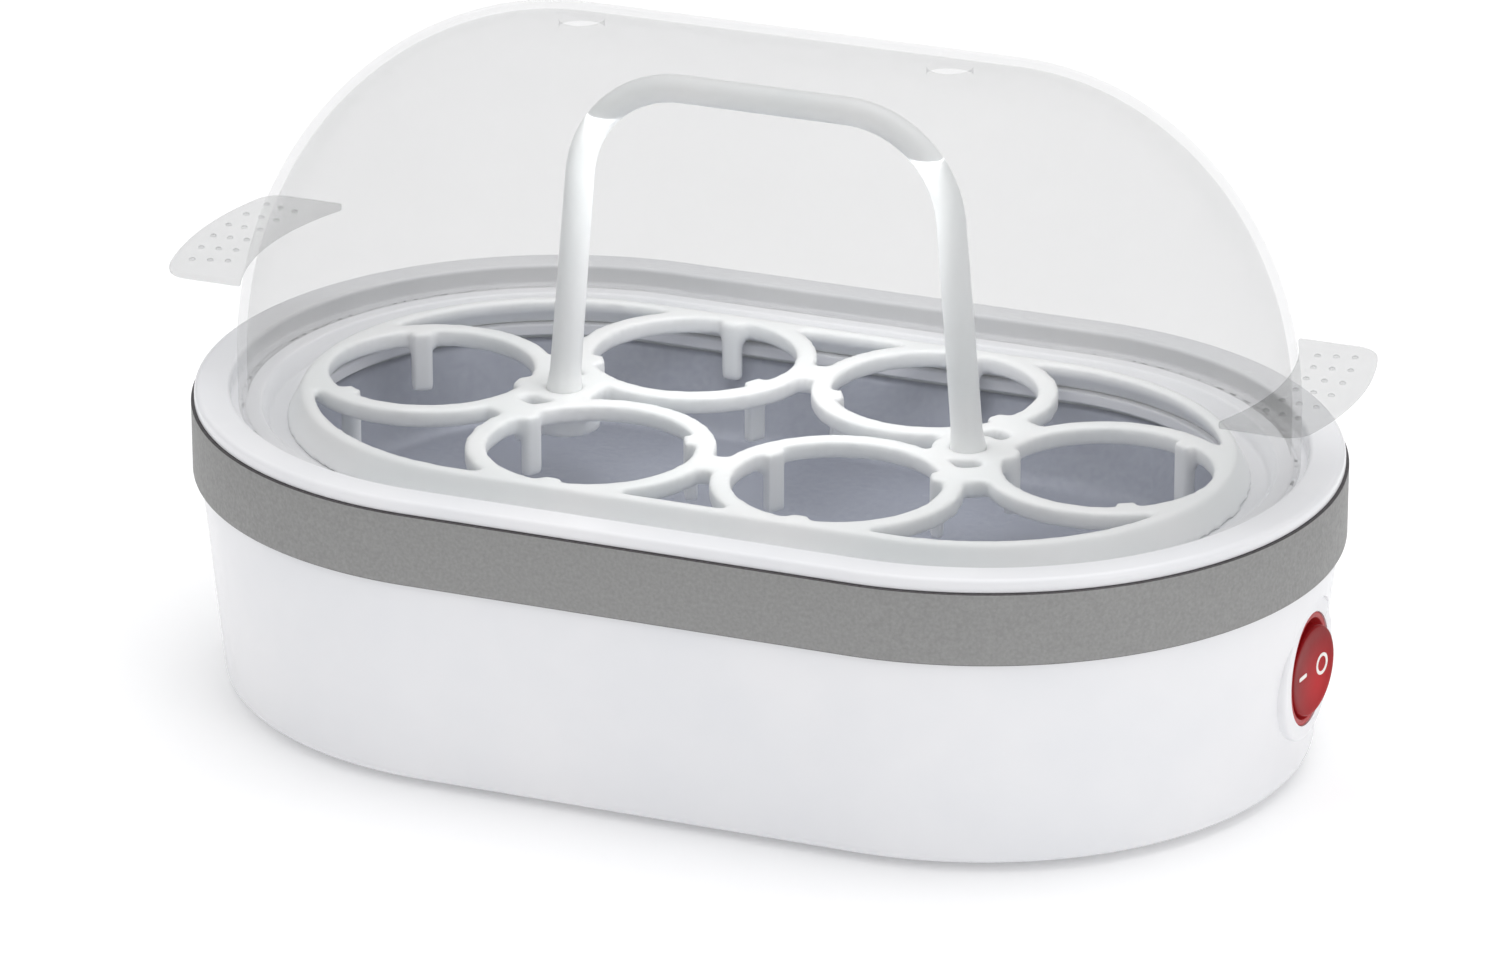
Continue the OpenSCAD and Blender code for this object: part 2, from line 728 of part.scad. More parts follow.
// Two posts and a cradle on the bottom plate that the clamp is screwed to
module clamp_posts() {
    for (sx = [-1, 1])
        translate([sx * clamp_reach, clamp_at[1], 0]) difference() {
            cylinder(h = clamp_at[2], r = boss_r);
            translate([0, 0, 1]) cylinder(h = clamp_at[2], r = hole_r, $fn = fine_fn);
        }
}

module cord_clamp() {
    color("whitesmoke") translate(block_at + clamp_at) difference() {
        translate([-clamp_reach - 3, -3, 0]) cube([2 * clamp_reach + 6, 6, clamp_t]);
        for (sx = [-1, 1])
            translate([sx * clamp_reach, 0, -cut])
                cylinder(h = clamp_t + 2 * cut, r = hole_r, $fn = fine_fn);
    }
}

module clamp_screws() {
    color("silver") translate(block_at + clamp_at + [0, 0, clamp_t])
        for (sx = [-1, 1])
            translate([sx * clamp_reach, 0, 0]) mirror([0, 0, 1]) screw(7);
}

module terminal_block() {
    color("ivory") translate(block_at) difference() {
        translate([-block_size[0] / 2, -block_size[1] / 2, 0]) cube(block_size);
        for (i = [-1 : 1]) {
            translate([i * block_pitch, -block_size[1] / 2 - cut, 5]) rotate([-90, 0, 0])
                cylinder(h = block_size[1] + 2 * cut, r = 1.6, $fn = fine_fn);
            for (sy = [-1, 1])
                translate([i * block_pitch, sy * 6, 6]) cylinder(h = block_size[2], r = 2, $fn = fine_fn);
        }
    }
}

// Mouth of one of the block's ways on the heater side
function block_way(i) = block_at + [i * block_pitch, -block_size[1] / 2, 5];

module live_lead() {
    color("saddlebrown") lead([
        block_way(-1) + [0, 2, 0], block_way(-1) + [0, -6, 0], [block_way(-1)[0], -40, low_z],
        [0, -44, low_z], [half, -40, low_z], [switch_back - 8, -10, switch_z - 4],
        [switch_back - 4, 0, switch_z], [switch_back - 0.4, 0, switch_z]]);
}

module switched_lead() {
    color("black") lead([
        [switch_back - 0.6, 6.4, switch_z], [switch_back - 4, 6.4, switch_z],
        [switch_back - 10, 14, low_z + 6], [half, 34, low_z],
        [0, 34, low_z], [thermostat_x, 14, low_z], [thermostat_x, 5, low_z + 1],
        [thermostat_x, 4, tab_foot - 3], [thermostat_x, 4, tab_foot - 0.4]]);
}

module fuse_lead() {
    color("orangered") lead([
        [thermostat_x, -4, tab_foot - 0.4], [thermostat_x, -4, tab_foot - 3],
        [thermostat_x + 8, -8, tab_foot - 3], [fuse_x - sleeve_l / 2 - 8, -4, fuse_z - 4],
        [fuse_x - sleeve_l / 2 - 4, 0, fuse_z], [fuse_x - sleeve_l / 2 - 1.4, 0, fuse_z]]);
}

module element_lead() {
    color("darkred") lead([
        [fuse_x + sleeve_l / 2 + 1.4, 0, fuse_z], [fuse_x + sleeve_l / 2 + 4, 0, fuse_z],
        [fuse_x + sleeve_l / 2 + 4, -6, low_z + 4], [terminal_x + 8, -element_r + 2, low_z],
        [terminal_x, -element_r, spade_foot - 2], [terminal_x, -element_r, spade_foot - 0.4]]);
}

module neutral_lead() {
    color("steelblue") lead([
        block_way(0) + [0, 2, 0], block_way(0) + [0, -6, 0], [block_way(0)[0], -28, low_z],
        [-terminal_x - 12, -element_r - 6, low_z], [-terminal_x - 3, -element_r, low_z - 1],
        [-terminal_x, -element_r, spade_foot - 2], [-terminal_x, -element_r, spade_foot - 0.4]]);
}

module earth_lead() {
    color("yellowgreen") lead([
        block_way(1) + [0, 2, 0], block_way(1) + [0, -6, 0], [-half * 0.9, -8, low_z],
        [12, 20, low_z], [earth_at[0] + 12, earth_at[1], spread_z - 10],
        [earth_at[0] + 8, earth_at[1], spread_z - strap_t - 1.1]]);
}

// ---- switch ----

module switch_housing() {
    color("whitesmoke") at_switch() difference() {
        union() {
            bar_x(cup_back - cup_floor, -flange_x - 0.2, cup_r + cup_t);
            bar_x(-flange_x - pad_t - switch_flange_t, -flange_x - pad_t, switch_flange_r);
        }
        bar_x(cup_back, -flange_x + cut, cup_r);
        cylinder(h = 2 * (cup_r + cup_t - 0.25), r = pin_r + pin_fit, center = true, $fn = fine_fn);
        for (y = [-6.4, 0, 6.4])
            translate([cup_back - cup_floor - cut, y - tab_t / 2 - 0.1, -tab_w / 2 - 0.1])
                cube([cup_floor + 2 * cut, tab_t + 0.2, tab_w + 0.2]);
    }
}

// Three flat terminals: a fork under the blade, a fixed contact, and the lamp's return
module switch_terminals() {
    tips = [cup_back + 1.5, blade_x - 0.6, blade_x - 1.6];
    color("goldenrod") at_switch() {
        for (i = [-1 : 1])
            translate([cup_back - cup_floor - 9, i * 6.4 - tab_t / 2, -tab_w / 2])
                cube([tips[i + 1] - cup_back + cup_floor + 9, tab_t, tab_w]);
    }
}

module neon_lamp() {
    color("orange") at_switch() {
        translate([-8.5, -4, 6]) rotate([-90, 0, 0]) cylinder(h = 8, r = 1.4, $fn = fine_fn);
        for (sy = [-1, 1])
            translate([cup_back, sy * 3.2, 6]) rotate([0, 90, 0])
                cylinder(h = 5, r = 0.25, $fn = fine_fn);
    }
}

// Face marks: a bar on the pressed side and a ring on the raised side
module mark_shapes() {
    translate([-0.45 * rocker_r - 1.6, -0.4]) square([3.2, 0.8]);
    translate([0.45 * rocker_r, 0]) difference() {
        circle(2.1);
        circle(1.45);
    }
}

module on_rocker() {
    at_switch() rotate([0, 0, -rock]) children();
}

module in_face(depth, height) {
    on_rocker() translate([face_x - depth, 0, 0]) rotate([90, 0, 90]) linear_extrude(height) children();
}

module switch_rocker() {
    bevel = 0.8;
    color("firebrick") difference() {
        on_rocker() {
            rotate([0, 90, 0]) rotate_extrude() polygon([
                [0, -1.5], [rocker_r, -1.5], [rocker_r, face_x - bevel],
                [rocker_r - bevel, face_x], [0, face_x]]);
            cylinder(h = 2 * (cup_r + cup_t - 0.5), r = pin_r, center = true, $fn = fine_fn);
            bar_x(-7, -1.4, 2.7);
        }
        on_rocker() bar_x(-7 - cut, -1, 2);
        in_face(0.3, 0.3 + cut) mark_shapes();
    }
}

module rocker_marks() {
    color("white") in_face(0.3, 0.33) mark_shapes();
}

// Points along a coil spring that lies along X
function coil(a, b, r, turns, steps) =
    [for (i = [0 : turns * steps])
        [a + (b - a) * i / (turns * steps), r * cos(i * 360 / steps), r * sin(i * 360 / steps)]];

module rocker_spring() {
    turns = coil(-4.7, -1.35, 1.5, 5, 12);
    color("silver") on_rocker() tube(turns, [for (p = turns) 0.25]);
}

module rocker_plunger() {
    color("goldenrod") on_rocker() {
        bar_x(-6.4, -5, 1.9);
        bar_x(-9.6, -6.2, 1.1);
        translate([-9.6, 0, 0]) sphere(0.7, $fn = fine_fn);
    }
}

module contact_blade() {
    color("peru") at_switch() translate([blade_x, 0, 0]) rotate([0, 0, blade_tilt]) {
        translate([-0.3, -6.6, -2]) cube([0.6, 13.2, 4]);
        // two short pins that rock in the fork
        for (sz = [0, 1])
            mirror([0, 0, sz]) translate([0, 0, 1.5]) cylinder(h = 1.5, r = 0.5, $fn = fine_fn);
        translate([-0.8, 6, 0]) rotate([0, 90, 0]) cylinder(h = 0.6, r = 1.2, $fn = fine_fn);
    }
}

// ---- egg tray and handle ----

// Leaning wall with a rounded top edge and a short lip inwards
module skirt_profile() {
    edge = 1;
    lip_r = skirt_top_r - skirt_t - 1;
    polygon([[skirt_r - skirt_t, tray_seat_z], [skirt_r, tray_seat_z], [skirt_top_r, tray_top - edge],
             [skirt_top_r - edge, tray_top], [lip_r, tray_top], [lip_r, tray_top - skirt_t]]);
    translate([skirt_top_r - edge, tray_top - edge]) circle(edge, $fn = 48);
}

// Strip that joins two places in the tray
module ring_web(a, b, w) {
    d = [b[0] - a[0], b[1] - a[1]];
    translate([a[0], a[1]]) rotate(atan2(d[1], d[0])) translate([0, -w / 2]) square([norm(d), w]);
}

module tray_plan() {
    web_w = 7;
    difference() {
        union() {
            for (r = rings)
                translate([r[0], r[1]]) circle(ring_out);
            for (i = [0, 3], k = [1, 2])
                ring_web(rings[i], rings[i + k], web_w);
            for (k = [1, 2])
                ring_web(rings[k], rings[3 + k], web_w);
            for (sx = [-1, 1]) {
                ring_web([sx * handle_l / 2, 0], [sx * end_ring_x, 0], web_w);
            }
        }
        for (r = rings)
            translate([r[0], r[1]]) circle(ring_r);
    }
}

// Three ribs inside each ring that the egg rests on
module rib_plan() {
    rib = [2.4, 4];
    for (r = rings, k = [0 : 2])
        translate([r[0], r[1]]) rotate(r[2] + k * 120)
            translate([ring_r + 0.4 - rib[0], -rib[1] / 2]) square(rib);
}

// Places of the handle's sockets, at the height of the tray's top
module at_sockets() {
    for (sx = [-1, 1])
        translate([sx * handle_l / 2, 0, tray_top]) children();
}

module egg_tray() {
    color("floralwhite") difference() {
        union() {
            around() skirt_profile();
            translate([0, 0, tray_top - ring_h]) linear_extrude(ring_h) intersection() {
                tray_plan();
                oval(skirt_top_r - skirt_t / 2);
            }
            translate([0, 0, tray_top - rib_h]) linear_extrude(rib_h) rib_plan();
            at_sockets() translate([0, 0, -socket_h]) cylinder(h = socket_h, r = socket_r);
        }
        at_sockets() translate([0, 0, -socket_h - cut])
            cylinder(h = socket_h + 2 * cut, r = rod_foot_d / 2 + pin_fit);
    }
}

// Hoop handle: tapered legs, round bends and a straight bar, as one closed tube
module tray_handle() {
    steps = 10;
    bend = [for (i = [0 : steps]) let (a = leg_lean + i * (90 - leg_lean) / steps)
        [bend_x + handle_bend * cos(a), 0, handle_top - handle_bend + handle_bend * sin(a)]];
    right = concat([[handle_l / 2, 0, leg_foot], [handle_l / 2, 0, tray_top]], bend);
    last = len(right) - 1;
    line = concat(right, [for (i = [last : -1 : 0]) [-right[i][0], 0, right[i][2]]]);
    color("ghostwhite") tube(
        line, [for (p = line) p[2] <= tray_top ? rod_foot_d / 2 : rod_d / 2], sides = 24);
}

// ---- lid ----

// Outline of one grip, rounded at its outer corners
module grip_plan() {
    inner = grip_w / 2 - grip_corner;
    corner_x = sqrt(pow(grip_r - grip_corner, 2) - inner * inner);
    touch_y = inner * grip_r / (grip_r - grip_corner);
    intersection() {
        circle(grip_r);
        translate([0, -touch_y]) square([grip_r, 2 * touch_y]);
    }
    translate([0, -grip_w / 2]) square([corner_x, grip_w]);
    for (sy = [-1, 1])
        translate([corner_x, sy * inner]) circle(grip_corner);
}

module grip() {
    difference() {
        translate([half, 0, grip_z]) linear_extrude(grip_t) grip_plan();
        translate([half, 0, 0]) cylinder(h = total_h, r = lid_r - lid_t / 2);
        translate([0, -grip_w, grip_z - cut]) cube([half, 2 * grip_w, grip_t + 2 * cut]);
    }
    for (i = [0 : dot_rows - 1], j = [0 : dot_count - 1])
        translate([half, 0, grip_z + grip_t - 0.1])
            rotate([0, 0, (j - (dot_count - 1) / 2) * 5.5])
                translate([grip_r - 4 - i * 3.4, 0, 0]) cylinder(h = 0.5, r = 0.6, $fn = fine_fn);
}

// Section of the lid's wall: upright, then a quarter circle up to the ridge
module lid_profile() {
    translate([lid_r - lid_t, seat_z]) square([lid_t, dome_z - seat_z]);
    translate([0, dome_z]) intersection() {
        difference() {
            circle(lid_r, $fn = 180);
            circle(lid_r - lid_t, $fn = 180);
        }
        square(lid_r);
    }
}

module lid() {
    color("lavender", 0.4) difference() {
        union() {
            around() lid_profile();
            for (sx = [0, 1])
                mirror([sx, 0, 0]) grip();
        }
        for (sx = [-1, 1])
            translate([sx * steam_l / 2, 0, dome_z + lid_r / 2]) cylinder(h = lid_r, r = steam_d / 2);
    }
}

base_housing();
bottom_plate();
bottom_screws();
rubber_feet();
trim_band();
top_collar();
collar_screws();
heating_plate();
plate_seal();
plate_retainer();
retainer_screws();
heat_spreader();
heating_element();
element_insulators();
element_terminals();
thermostat();
thermostat_strap();
strap_screws();
thermal_fuse();
fuse_sleeve();
fuse_clip();
clip_screw();
earth_tag();
earth_screw();
cord_gland();
gland_nut();
cord_clamp();
clamp_screws();
terminal_block();
live_lead();
switched_lead();
fuse_lead();
element_lead();
neutral_lead();
earth_lead();
switch_housing();
switch_terminals();
neon_lamp();
switch_rocker();
rocker_marks();
rocker_spring();
rocker_plunger();
contact_blade();
egg_tray();
tray_handle();
lid();
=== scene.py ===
# %% [markdown]
# # Egg cooker
# An oval cooker for six eggs: a white moulded base with a satin band, a coated water dish,
# a milky tray with a hoop handle and a clear domed lid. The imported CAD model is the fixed
# frame. Everything here is a finer surface or a better finish for a piece that it already has.

# %% Load the frame
import json
import math

import bmesh
import bpy
import numpy as np
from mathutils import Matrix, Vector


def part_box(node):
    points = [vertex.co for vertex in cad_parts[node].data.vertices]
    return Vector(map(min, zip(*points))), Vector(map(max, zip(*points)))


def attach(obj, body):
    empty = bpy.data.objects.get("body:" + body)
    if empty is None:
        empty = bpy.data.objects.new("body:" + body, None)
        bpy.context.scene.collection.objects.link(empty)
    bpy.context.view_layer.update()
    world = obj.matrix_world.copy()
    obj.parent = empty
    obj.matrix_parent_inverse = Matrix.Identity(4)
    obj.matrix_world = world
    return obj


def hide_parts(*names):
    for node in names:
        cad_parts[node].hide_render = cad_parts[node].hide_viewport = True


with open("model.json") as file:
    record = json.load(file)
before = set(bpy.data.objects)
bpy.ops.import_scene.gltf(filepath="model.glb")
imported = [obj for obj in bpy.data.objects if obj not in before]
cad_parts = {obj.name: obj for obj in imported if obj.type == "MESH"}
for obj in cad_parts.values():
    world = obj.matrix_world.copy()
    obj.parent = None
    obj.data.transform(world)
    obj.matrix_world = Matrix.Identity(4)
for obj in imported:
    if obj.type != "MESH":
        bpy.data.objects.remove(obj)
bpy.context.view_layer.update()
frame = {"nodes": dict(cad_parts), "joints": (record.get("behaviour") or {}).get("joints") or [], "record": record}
MM = 0.001

# %% [markdown]
# ## Main sizes
# A real moulded part follows a few driving sizes. Here they are read from the boxes of the CAD
# nodes, so that a CAD model with other sizes still fits. Wall thicknesses, small radii and the
# other sizes that a box can't tell are written as numbers.

# %% Main sizes, in mm
def node_box(name):
    """Lowest and highest corner of a CAD node, in mm."""
    low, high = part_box(name)
    return np.array(low) / MM, np.array(high) / MM


band_low, band_high = node_box("trim_band")
band_r = (band_high[1] - band_low[1]) / 2
half = (band_high[0] - band_low[0]) / 2 - band_r
band_z, band_top = band_low[2], band_high[2]
lid_low, lid_high = node_box("lid")
collar_low, collar_high = node_box("top_collar")
plate_low, plate_high = node_box("heating_plate")
tray_low, tray_high = node_box("egg_tray")
handle_low, handle_high = node_box("tray_handle")
housing_low, housing_high = node_box("base_housing")
print("half length of the straight:", round(half, 2), "band radius:", round(band_r, 2))

# %% [markdown]
# ## Camera
# A long lens from far away keeps the oval's two ends nearly the same size, as in a product
# picture. It stands to the right of the front and a little above, so that the lid, the tray
# and the switch at the end all show. The small shift places the cooker in the frame.

# %% Camera
AZIMUTH, ELEVATION = math.radians(22.0), math.radians(21.94)
DISTANCE = 1.458    # in m
LENS, SENSOR = 188.8, 36.0
TARGET = np.array([1.2, 0.0, 43.2]) * MM
back = np.array([
    math.sin(AZIMUTH) * math.cos(ELEVATION),
    -math.cos(AZIMUTH) * math.cos(ELEVATION),
    math.sin(ELEVATION),
])
camera = bpy.data.objects.new("camera", bpy.data.cameras.new("camera"))
bpy.context.scene.collection.objects.link(camera)
camera.location = TARGET + back * DISTANCE
camera.rotation_euler = (math.pi / 2 - ELEVATION, 0.0, AZIMUTH)
camera.data.sensor_width, camera.data.lens = SENSOR, LENS
camera.data.shift_x, camera.data.shift_y = -0.0135, 0.0031
camera.data.clip_end = 20.0
bpy.context.scene.camera = camera
print("camera at", np.round(camera.location, 3))

# %% [markdown]
# ## Material helpers
# Each finish is a small node tree. One function adds a node, and colours are written as the
# sRGB hex values that a paint chart gives and turned to linear light once.

# %% Material helpers
def linear(hex_colour):
    """Linear RGBA of an sRGB hex colour: c/12.92 below 0.04045, else ((c + 0.055)/1.055)^2.4."""
    c = np.array([int(hex_colour[i:i + 2], 16) for i in (1, 3, 5)]) / 255
    c = np.where(c <= 0.04045, c / 12.92, ((c + 0.055) / 1.055) ** 2.4)
    return (*(float(v) for v in c), 1.0)


def add(tree, kind, inputs=None, **settings):
    """Adds a node. settings are its properties; inputs gives sockets a value or a link."""
    node = tree.nodes.new(kind)
    for key, value in settings.items():
        setattr(node, key, value)
    for key, value in (inputs or {}).items():
        if isinstance(value, bpy.types.NodeSocket):
            tree.links.new(value, node.inputs[key])
        else:
            node.inputs[key].default_value = value
    return node


def new_material(name):
    """An empty node material with its tree, output and Object coordinates."""
    material = bpy.data.materials.new(name)
    material.use_nodes = True
    tree = material.node_tree
    tree.nodes.clear()
    output = add(tree, "ShaderNodeOutputMaterial")
    place = add(tree, "ShaderNodeTexCoord").outputs["Object"]
    return material, tree, output, place


def mottle(tree, place, size_mm, low, high, detail=3.0):
    """A value between low and high that wanders over a distance of size_mm."""
    noise = add(tree, "ShaderNodeTexNoise", {
        "Vector": place, "Scale": 1 / (size_mm * MM), "Detail": detail})
    spread = add(tree, "ShaderNodeMapRange", {
        "Value": noise.outputs["Fac"], "From Min": 0.3, "From Max": 0.7,
        "To Min": low, "To Max": high})
    return spread.outputs["Result"]


def grain(tree, place, size_mm, depth_mm, strength=1.0):
    """A bumped normal with grains of size_mm and depth_mm."""
    noise = add(tree, "ShaderNodeTexNoise", {
        "Vector": place, "Scale": 1 / (size_mm * MM), "Detail": 2.0})
    bump = add(tree, "ShaderNodeBump", {
        "Height": noise.outputs["Fac"], "Distance": depth_mm * MM, "Strength": strength})
    return bump.outputs["Normal"]


def two_tints(tree, share, one, other):
    """A colour that goes from one hex colour to the other as share goes from 0 to 1."""
    mix = add(tree, "ShaderNodeMix", data_type="RGBA")
    mix.inputs[6].default_value = linear(one)
    mix.inputs[7].default_value = linear(other)
    tree.links.new(share, mix.inputs[0])
    return mix.outputs[2]


print("material helpers ready")

# %% [markdown]
# ## Moulded plastics
# ABS, nylon, silicone and PVC parts leave the mould with a tone that isn't quite even, a gloss
# that varies where the melt cooled, and a very fine grain. One function makes them all, because
# only the colours, the gloss and the grain's real size differ.

# %% Plastics
def moulded(name, one, other, roughness, grain_mm, depth_mm, ior=1.5, scatter=0.0, scatter_mm=2.0):
    """A moulded plastic: two near tints, uneven gloss, and a fine grain. scatter is the share of
    light that enters the wall and comes out again within about scatter_mm."""
    material, tree, output, place = new_material(name)
    shader = add(tree, "ShaderNodeBsdfPrincipled", {
        "Base Color": two_tints(tree, mottle(tree, place, 28, 0, 1), one, other),
        "Roughness": mottle(tree, place, 9, roughness * 0.88, roughness * 1.12),
        "IOR": ior,
        "Normal": grain(tree, place, grain_mm, depth_mm),
        "Subsurface Weight": scatter,
        "Subsurface Scale": scatter_mm * MM,
    })
    shader.inputs["Subsurface Radius"].default_value = (1.0, 1.0, 1.0)
    tree.links.new(shader.outputs["BSDF"], output.inputs["Surface"])
    return material


FINISH = {
    # ABS from a polished mould: a bright, nearly neutral white with soft wide reflections
    "abs_white": moulded("abs_polished_white", "#F2F2F4", "#ECEDF0", 0.24, 0.9, 0.004, 1.53),
    # polypropylene is milky: light enters the wall and comes out softened
    "pp_milky": moulded("pp_milky", "#F8F9F9", "#F0F3F3", 0.34, 1.4, 0.012, 1.49, 0.4, 2.0),
    # nylon is a little yellower and duller than ABS
    "pa_white": moulded("pa_white", "#E4E3DC", "#DAD9D1", 0.45, 0.8, 0.01, 1.53),
    "silicone": moulded(
        "silicone_translucent", "#DDE0DE", "#D2D6D4", 0.5, 0.6, 0.01, 1.41, 0.4, 1.0),
    "silicone_red": moulded("silicone_red_lead", "#B4402C", "#A23522", 0.5, 0.5, 0.01, 1.41),
    "black_rubber": moulded("rubber_black", "#1D1D1E", "#262627", 0.7, 0.5, 0.03, 1.52),
    "phenolic": moulded("phenolic_dark", "#2E2A28", "#38332F", 0.38, 0.7, 0.01, 1.6),
    "pvc_brown": moulded("pvc_brown_lead", "#6B4226", "#5E391F", 0.42, 0.5, 0.01),
    "pvc_black": moulded("pvc_black_lead", "#202022", "#29292B", 0.42, 0.5, 0.01),
    "pvc_blue": moulded("pvc_blue_lead", "#2C5B9E", "#244E8A", 0.42, 0.5, 0.01),
    "ceramic": moulded("steatite_ceramic", "#E8E2D2", "#DED6C3", 0.55, 0.4, 0.02, 1.6),
    "fibreglass": moulded("glass_fibre_sleeve", "#C9BD93", "#B8AB80", 0.65, 0.35, 0.05),
    "mark_white": moulded("mark_print_white", "#FBF6F2", "#F3EDE8", 0.4, 0.4, 0.004),
}
print(len(FINISH), "plastics")

# %% [markdown]
# ## Metals
# The band, the screws and the heater are metal, whose tint is in its reflection. A satin part
# has a grain that spreads the light; a rolled sheet has it drawn out along one direction.

# %% Metals
def metal(name, one, other, roughness, grain_mm, depth_mm, stretch=(1, 1, 1), metallic=1.0):
    """A metal whose fine grain is stretched along each axis by stretch."""
    material, tree, output, place = new_material(name)
    drawn = add(tree, "ShaderNodeMapping", {
        "Vector": place, "Scale": [1 / s for s in stretch]}).outputs["Vector"]
    shader = add(tree, "ShaderNodeBsdfPrincipled", {
        "Base Color": two_tints(tree, mottle(tree, drawn, grain_mm * 1.5, 0, 1, 4.0), one, other),
        "Metallic": metallic,
        "Roughness": mottle(tree, drawn, grain_mm * 3, roughness * 0.85, roughness * 1.15),
        "Normal": grain(tree, drawn, grain_mm, depth_mm),
    })
    tree.links.new(shader.outputs["BSDF"], output.inputs["Surface"])
    return material


FINISH.update({
    # satin silver lacquer on a formed steel band; its 0.2 mm flake is drawn at 0.45 mm to show
    "satin_silver": metal(
        "satin_silver_lacquer", "#999998", "#8F8F8E", 0.58, 0.45, 0.008, metallic=0.3),
    "steel_plate": metal("coated_dish_slate", "#AEB2BE", "#A3A7B4", 0.42, 0.8, 0.01, metallic=0.3),
    "zinc_steel": metal("zinc_plated_steel", "#C2C4C6", "#AEB1B5", 0.32, 0.5, 0.006),
    "aluminium": metal("cast_aluminium", "#C5C7C9", "#B4B6B8", 0.5, 0.9, 0.03),
    "element_steel": metal("annealed_steel_tube", "#7B7672", "#5F5B59", 0.42, 1.5, 0.01, (4, 1, 1)),
    "brass": metal("brass_stamped", "#D2B26A", "#C4A25A", 0.3, 0.6, 0.005),
    "spring_steel": metal("spring_steel", "#A9ABAF", "#97999D", 0.28, 0.4, 0.004),
    "copper": metal("copper_blade", "#C98A62", "#B97B55", 0.3, 0.5, 0.004),
})
# a darker steel along the band's lower and upper edge: a painted shadow line there
band_edge_painted_shadow = metal("steel_edge_painted_shadow", "#5A5759", "#4D4A4C", 0.5, 0.45, 0.01, metallic=0.6)
print(len(FINISH), "finishes so far")

# %% [markdown]
# ## The earth lead
# An earth lead is green with a yellow stripe, and it is the one plastic with a pattern that
# everybody knows. The stripe is a wave that runs across the cooker, with a sharp edge.

# %% Striped PVC
material, tree, output, place = new_material("pvc_green_yellow_lead")
stripe = add(tree, "ShaderNodeTexWave", {
    "Vector": place, "Scale": 1 / (14 * MM), "Distortion": 0.0}, bands_direction="Y")
sharp = add(tree, "ShaderNodeMapRange", {
    "Value": stripe.outputs["Fac"], "From Min": 0.45, "From Max": 0.55})
lead_shader = add(tree, "ShaderNodeBsdfPrincipled", {
    "Base Color": two_tints(tree, sharp.outputs["Result"], "#3E8E41", "#E2CF3A"), "Roughness": 0.42,
    "Normal": grain(tree, place, 0.5, 0.01)})
tree.links.new(lead_shader.outputs["BSDF"], output.inputs["Surface"])
FINISH["pvc_earth"] = material
print("earth lead:", material.name)

# %% [markdown]
# ## Clear polystyrene
# The lid is a thin clear shell. Seen square on it hardly hides what is behind it, and seen along
# its wall it turns to a grey-white haze, because the eye looks through far more plastic. A surface
# that lets the view through unbent with a slight grey tint, and adds a haze that grows towards the
# edge, shows just that.

# %% Clear polystyrene
def clear_shell(name, pass_tint, haze_tint, face_on, edge_on, roughness):
    """A thin clear wall. It lets pass_tint through, and its haze goes from face_on to edge_on as
    the view turns along the wall: haze = face_on + (edge_on - face_on) facing^4."""
    material, tree, output, place = new_material(name)
    facing = add(tree, "ShaderNodeLayerWeight", {"Blend": 0.5}).outputs["Facing"]
    curve = add(tree, "ShaderNodeMath", {0: facing, 1: 4.0}, operation="POWER")
    haze = add(tree, "ShaderNodeMapRange", {
        "Value": curve.outputs["Value"], "To Min": face_on, "To Max": edge_on})
    patchy = add(tree, "ShaderNodeMath", {
        0: haze.outputs["Result"], 1: mottle(tree, place, 40, 0.8, 1.2)}, operation="MULTIPLY")
    window = add(tree, "ShaderNodeBsdfTransparent", {"Color": linear(pass_tint)})
    wall = add(tree, "ShaderNodeBsdfPrincipled", {
        "Base Color": linear(haze_tint), "Roughness": roughness, "IOR": 1.59,
        "Specular IOR Level": 0.25, "Normal": grain(tree, place, 22, 0.05)})
    mix = add(tree, "ShaderNodeMixShader", {
        0: patchy.outputs["Value"], 1: window.outputs["BSDF"], 2: wall.outputs["BSDF"]})
    tree.links.new(mix.outputs["Shader"], output.inputs["Surface"])
    return material


FINISH["ps_clear"] = clear_shell("polystyrene_clear", "#F7F7F7", "#F2F3F3", 0.035, 0.2, 0.1)
ps_frosted = clear_shell("polystyrene_frosted", "#F1F1F1", "#D0D2D2", 0.1, 0.3, 0.4)
FINISH["neon_glass"] = clear_shell("lamp_glass", "#F6CDAA", "#E9B48E", 0.25, 0.9, 0.05)
print("clear finishes:", FINISH["ps_clear"].name, ps_frosted.name, FINISH["neon_glass"].name)

# %% [markdown]
# ## Red polycarbonate
# The rocker is a translucent red moulding with a pilot lamp behind it. The lamp isn't built, so its
# light is painted: the colour is lighter a little below the middle of the lens and darker towards the thick rim,
# and a weak emission paints its glow.

# %% Red polycarbonate
switch_low, switch_high = node_box("switch_housing")
rocker_low, rocker_high = node_box("switch_rocker")
switch_z = (switch_low[2] + switch_high[2]) / 2


def red_with_painted_lamp_glow(name, one, other, glow):
    """Translucent red with a lamp's light painted in: one tint at the rim and the other, lighter, near
    the lamp's place 3 mm below the middle of the face. glow is the strength of an emission that paints the lamp's
    glow."""
    material, tree, output, place = new_material(name)
    centre = add(tree, "ShaderNodeVectorMath", {
        0: place, 1: (rocker_high[0] * MM, 0.0015, (switch_z - 3) * MM)}, operation="DISTANCE")
    # painted lamp light: 1 at the lamp's place, falling to 0 at 9.5 mm, so the rim keeps the darker tint
    near = add(tree, "ShaderNodeMapRange", {
        "Value": centre.outputs["Value"], "From Min": 0.001, "From Max": 0.0095,
        "To Min": 1.0, "To Max": 0.0})
    shader = add(tree, "ShaderNodeBsdfPrincipled", {
        "Base Color": two_tints(tree, near.outputs["Result"], one, other),
        "Roughness": mottle(tree, place, 3, 0.28, 0.38), "IOR": 1.45,
        "Normal": grain(tree, place, 0.9, 0.006),
        "Subsurface Weight": 0.3, "Subsurface Scale": 1.5 * MM, "Specular IOR Level": 0.1,
        "Emission Color": linear("#E02A2E"), "Emission Strength": glow})
    tree.links.new(shader.outputs["BSDF"], output.inputs["Surface"])
    return material
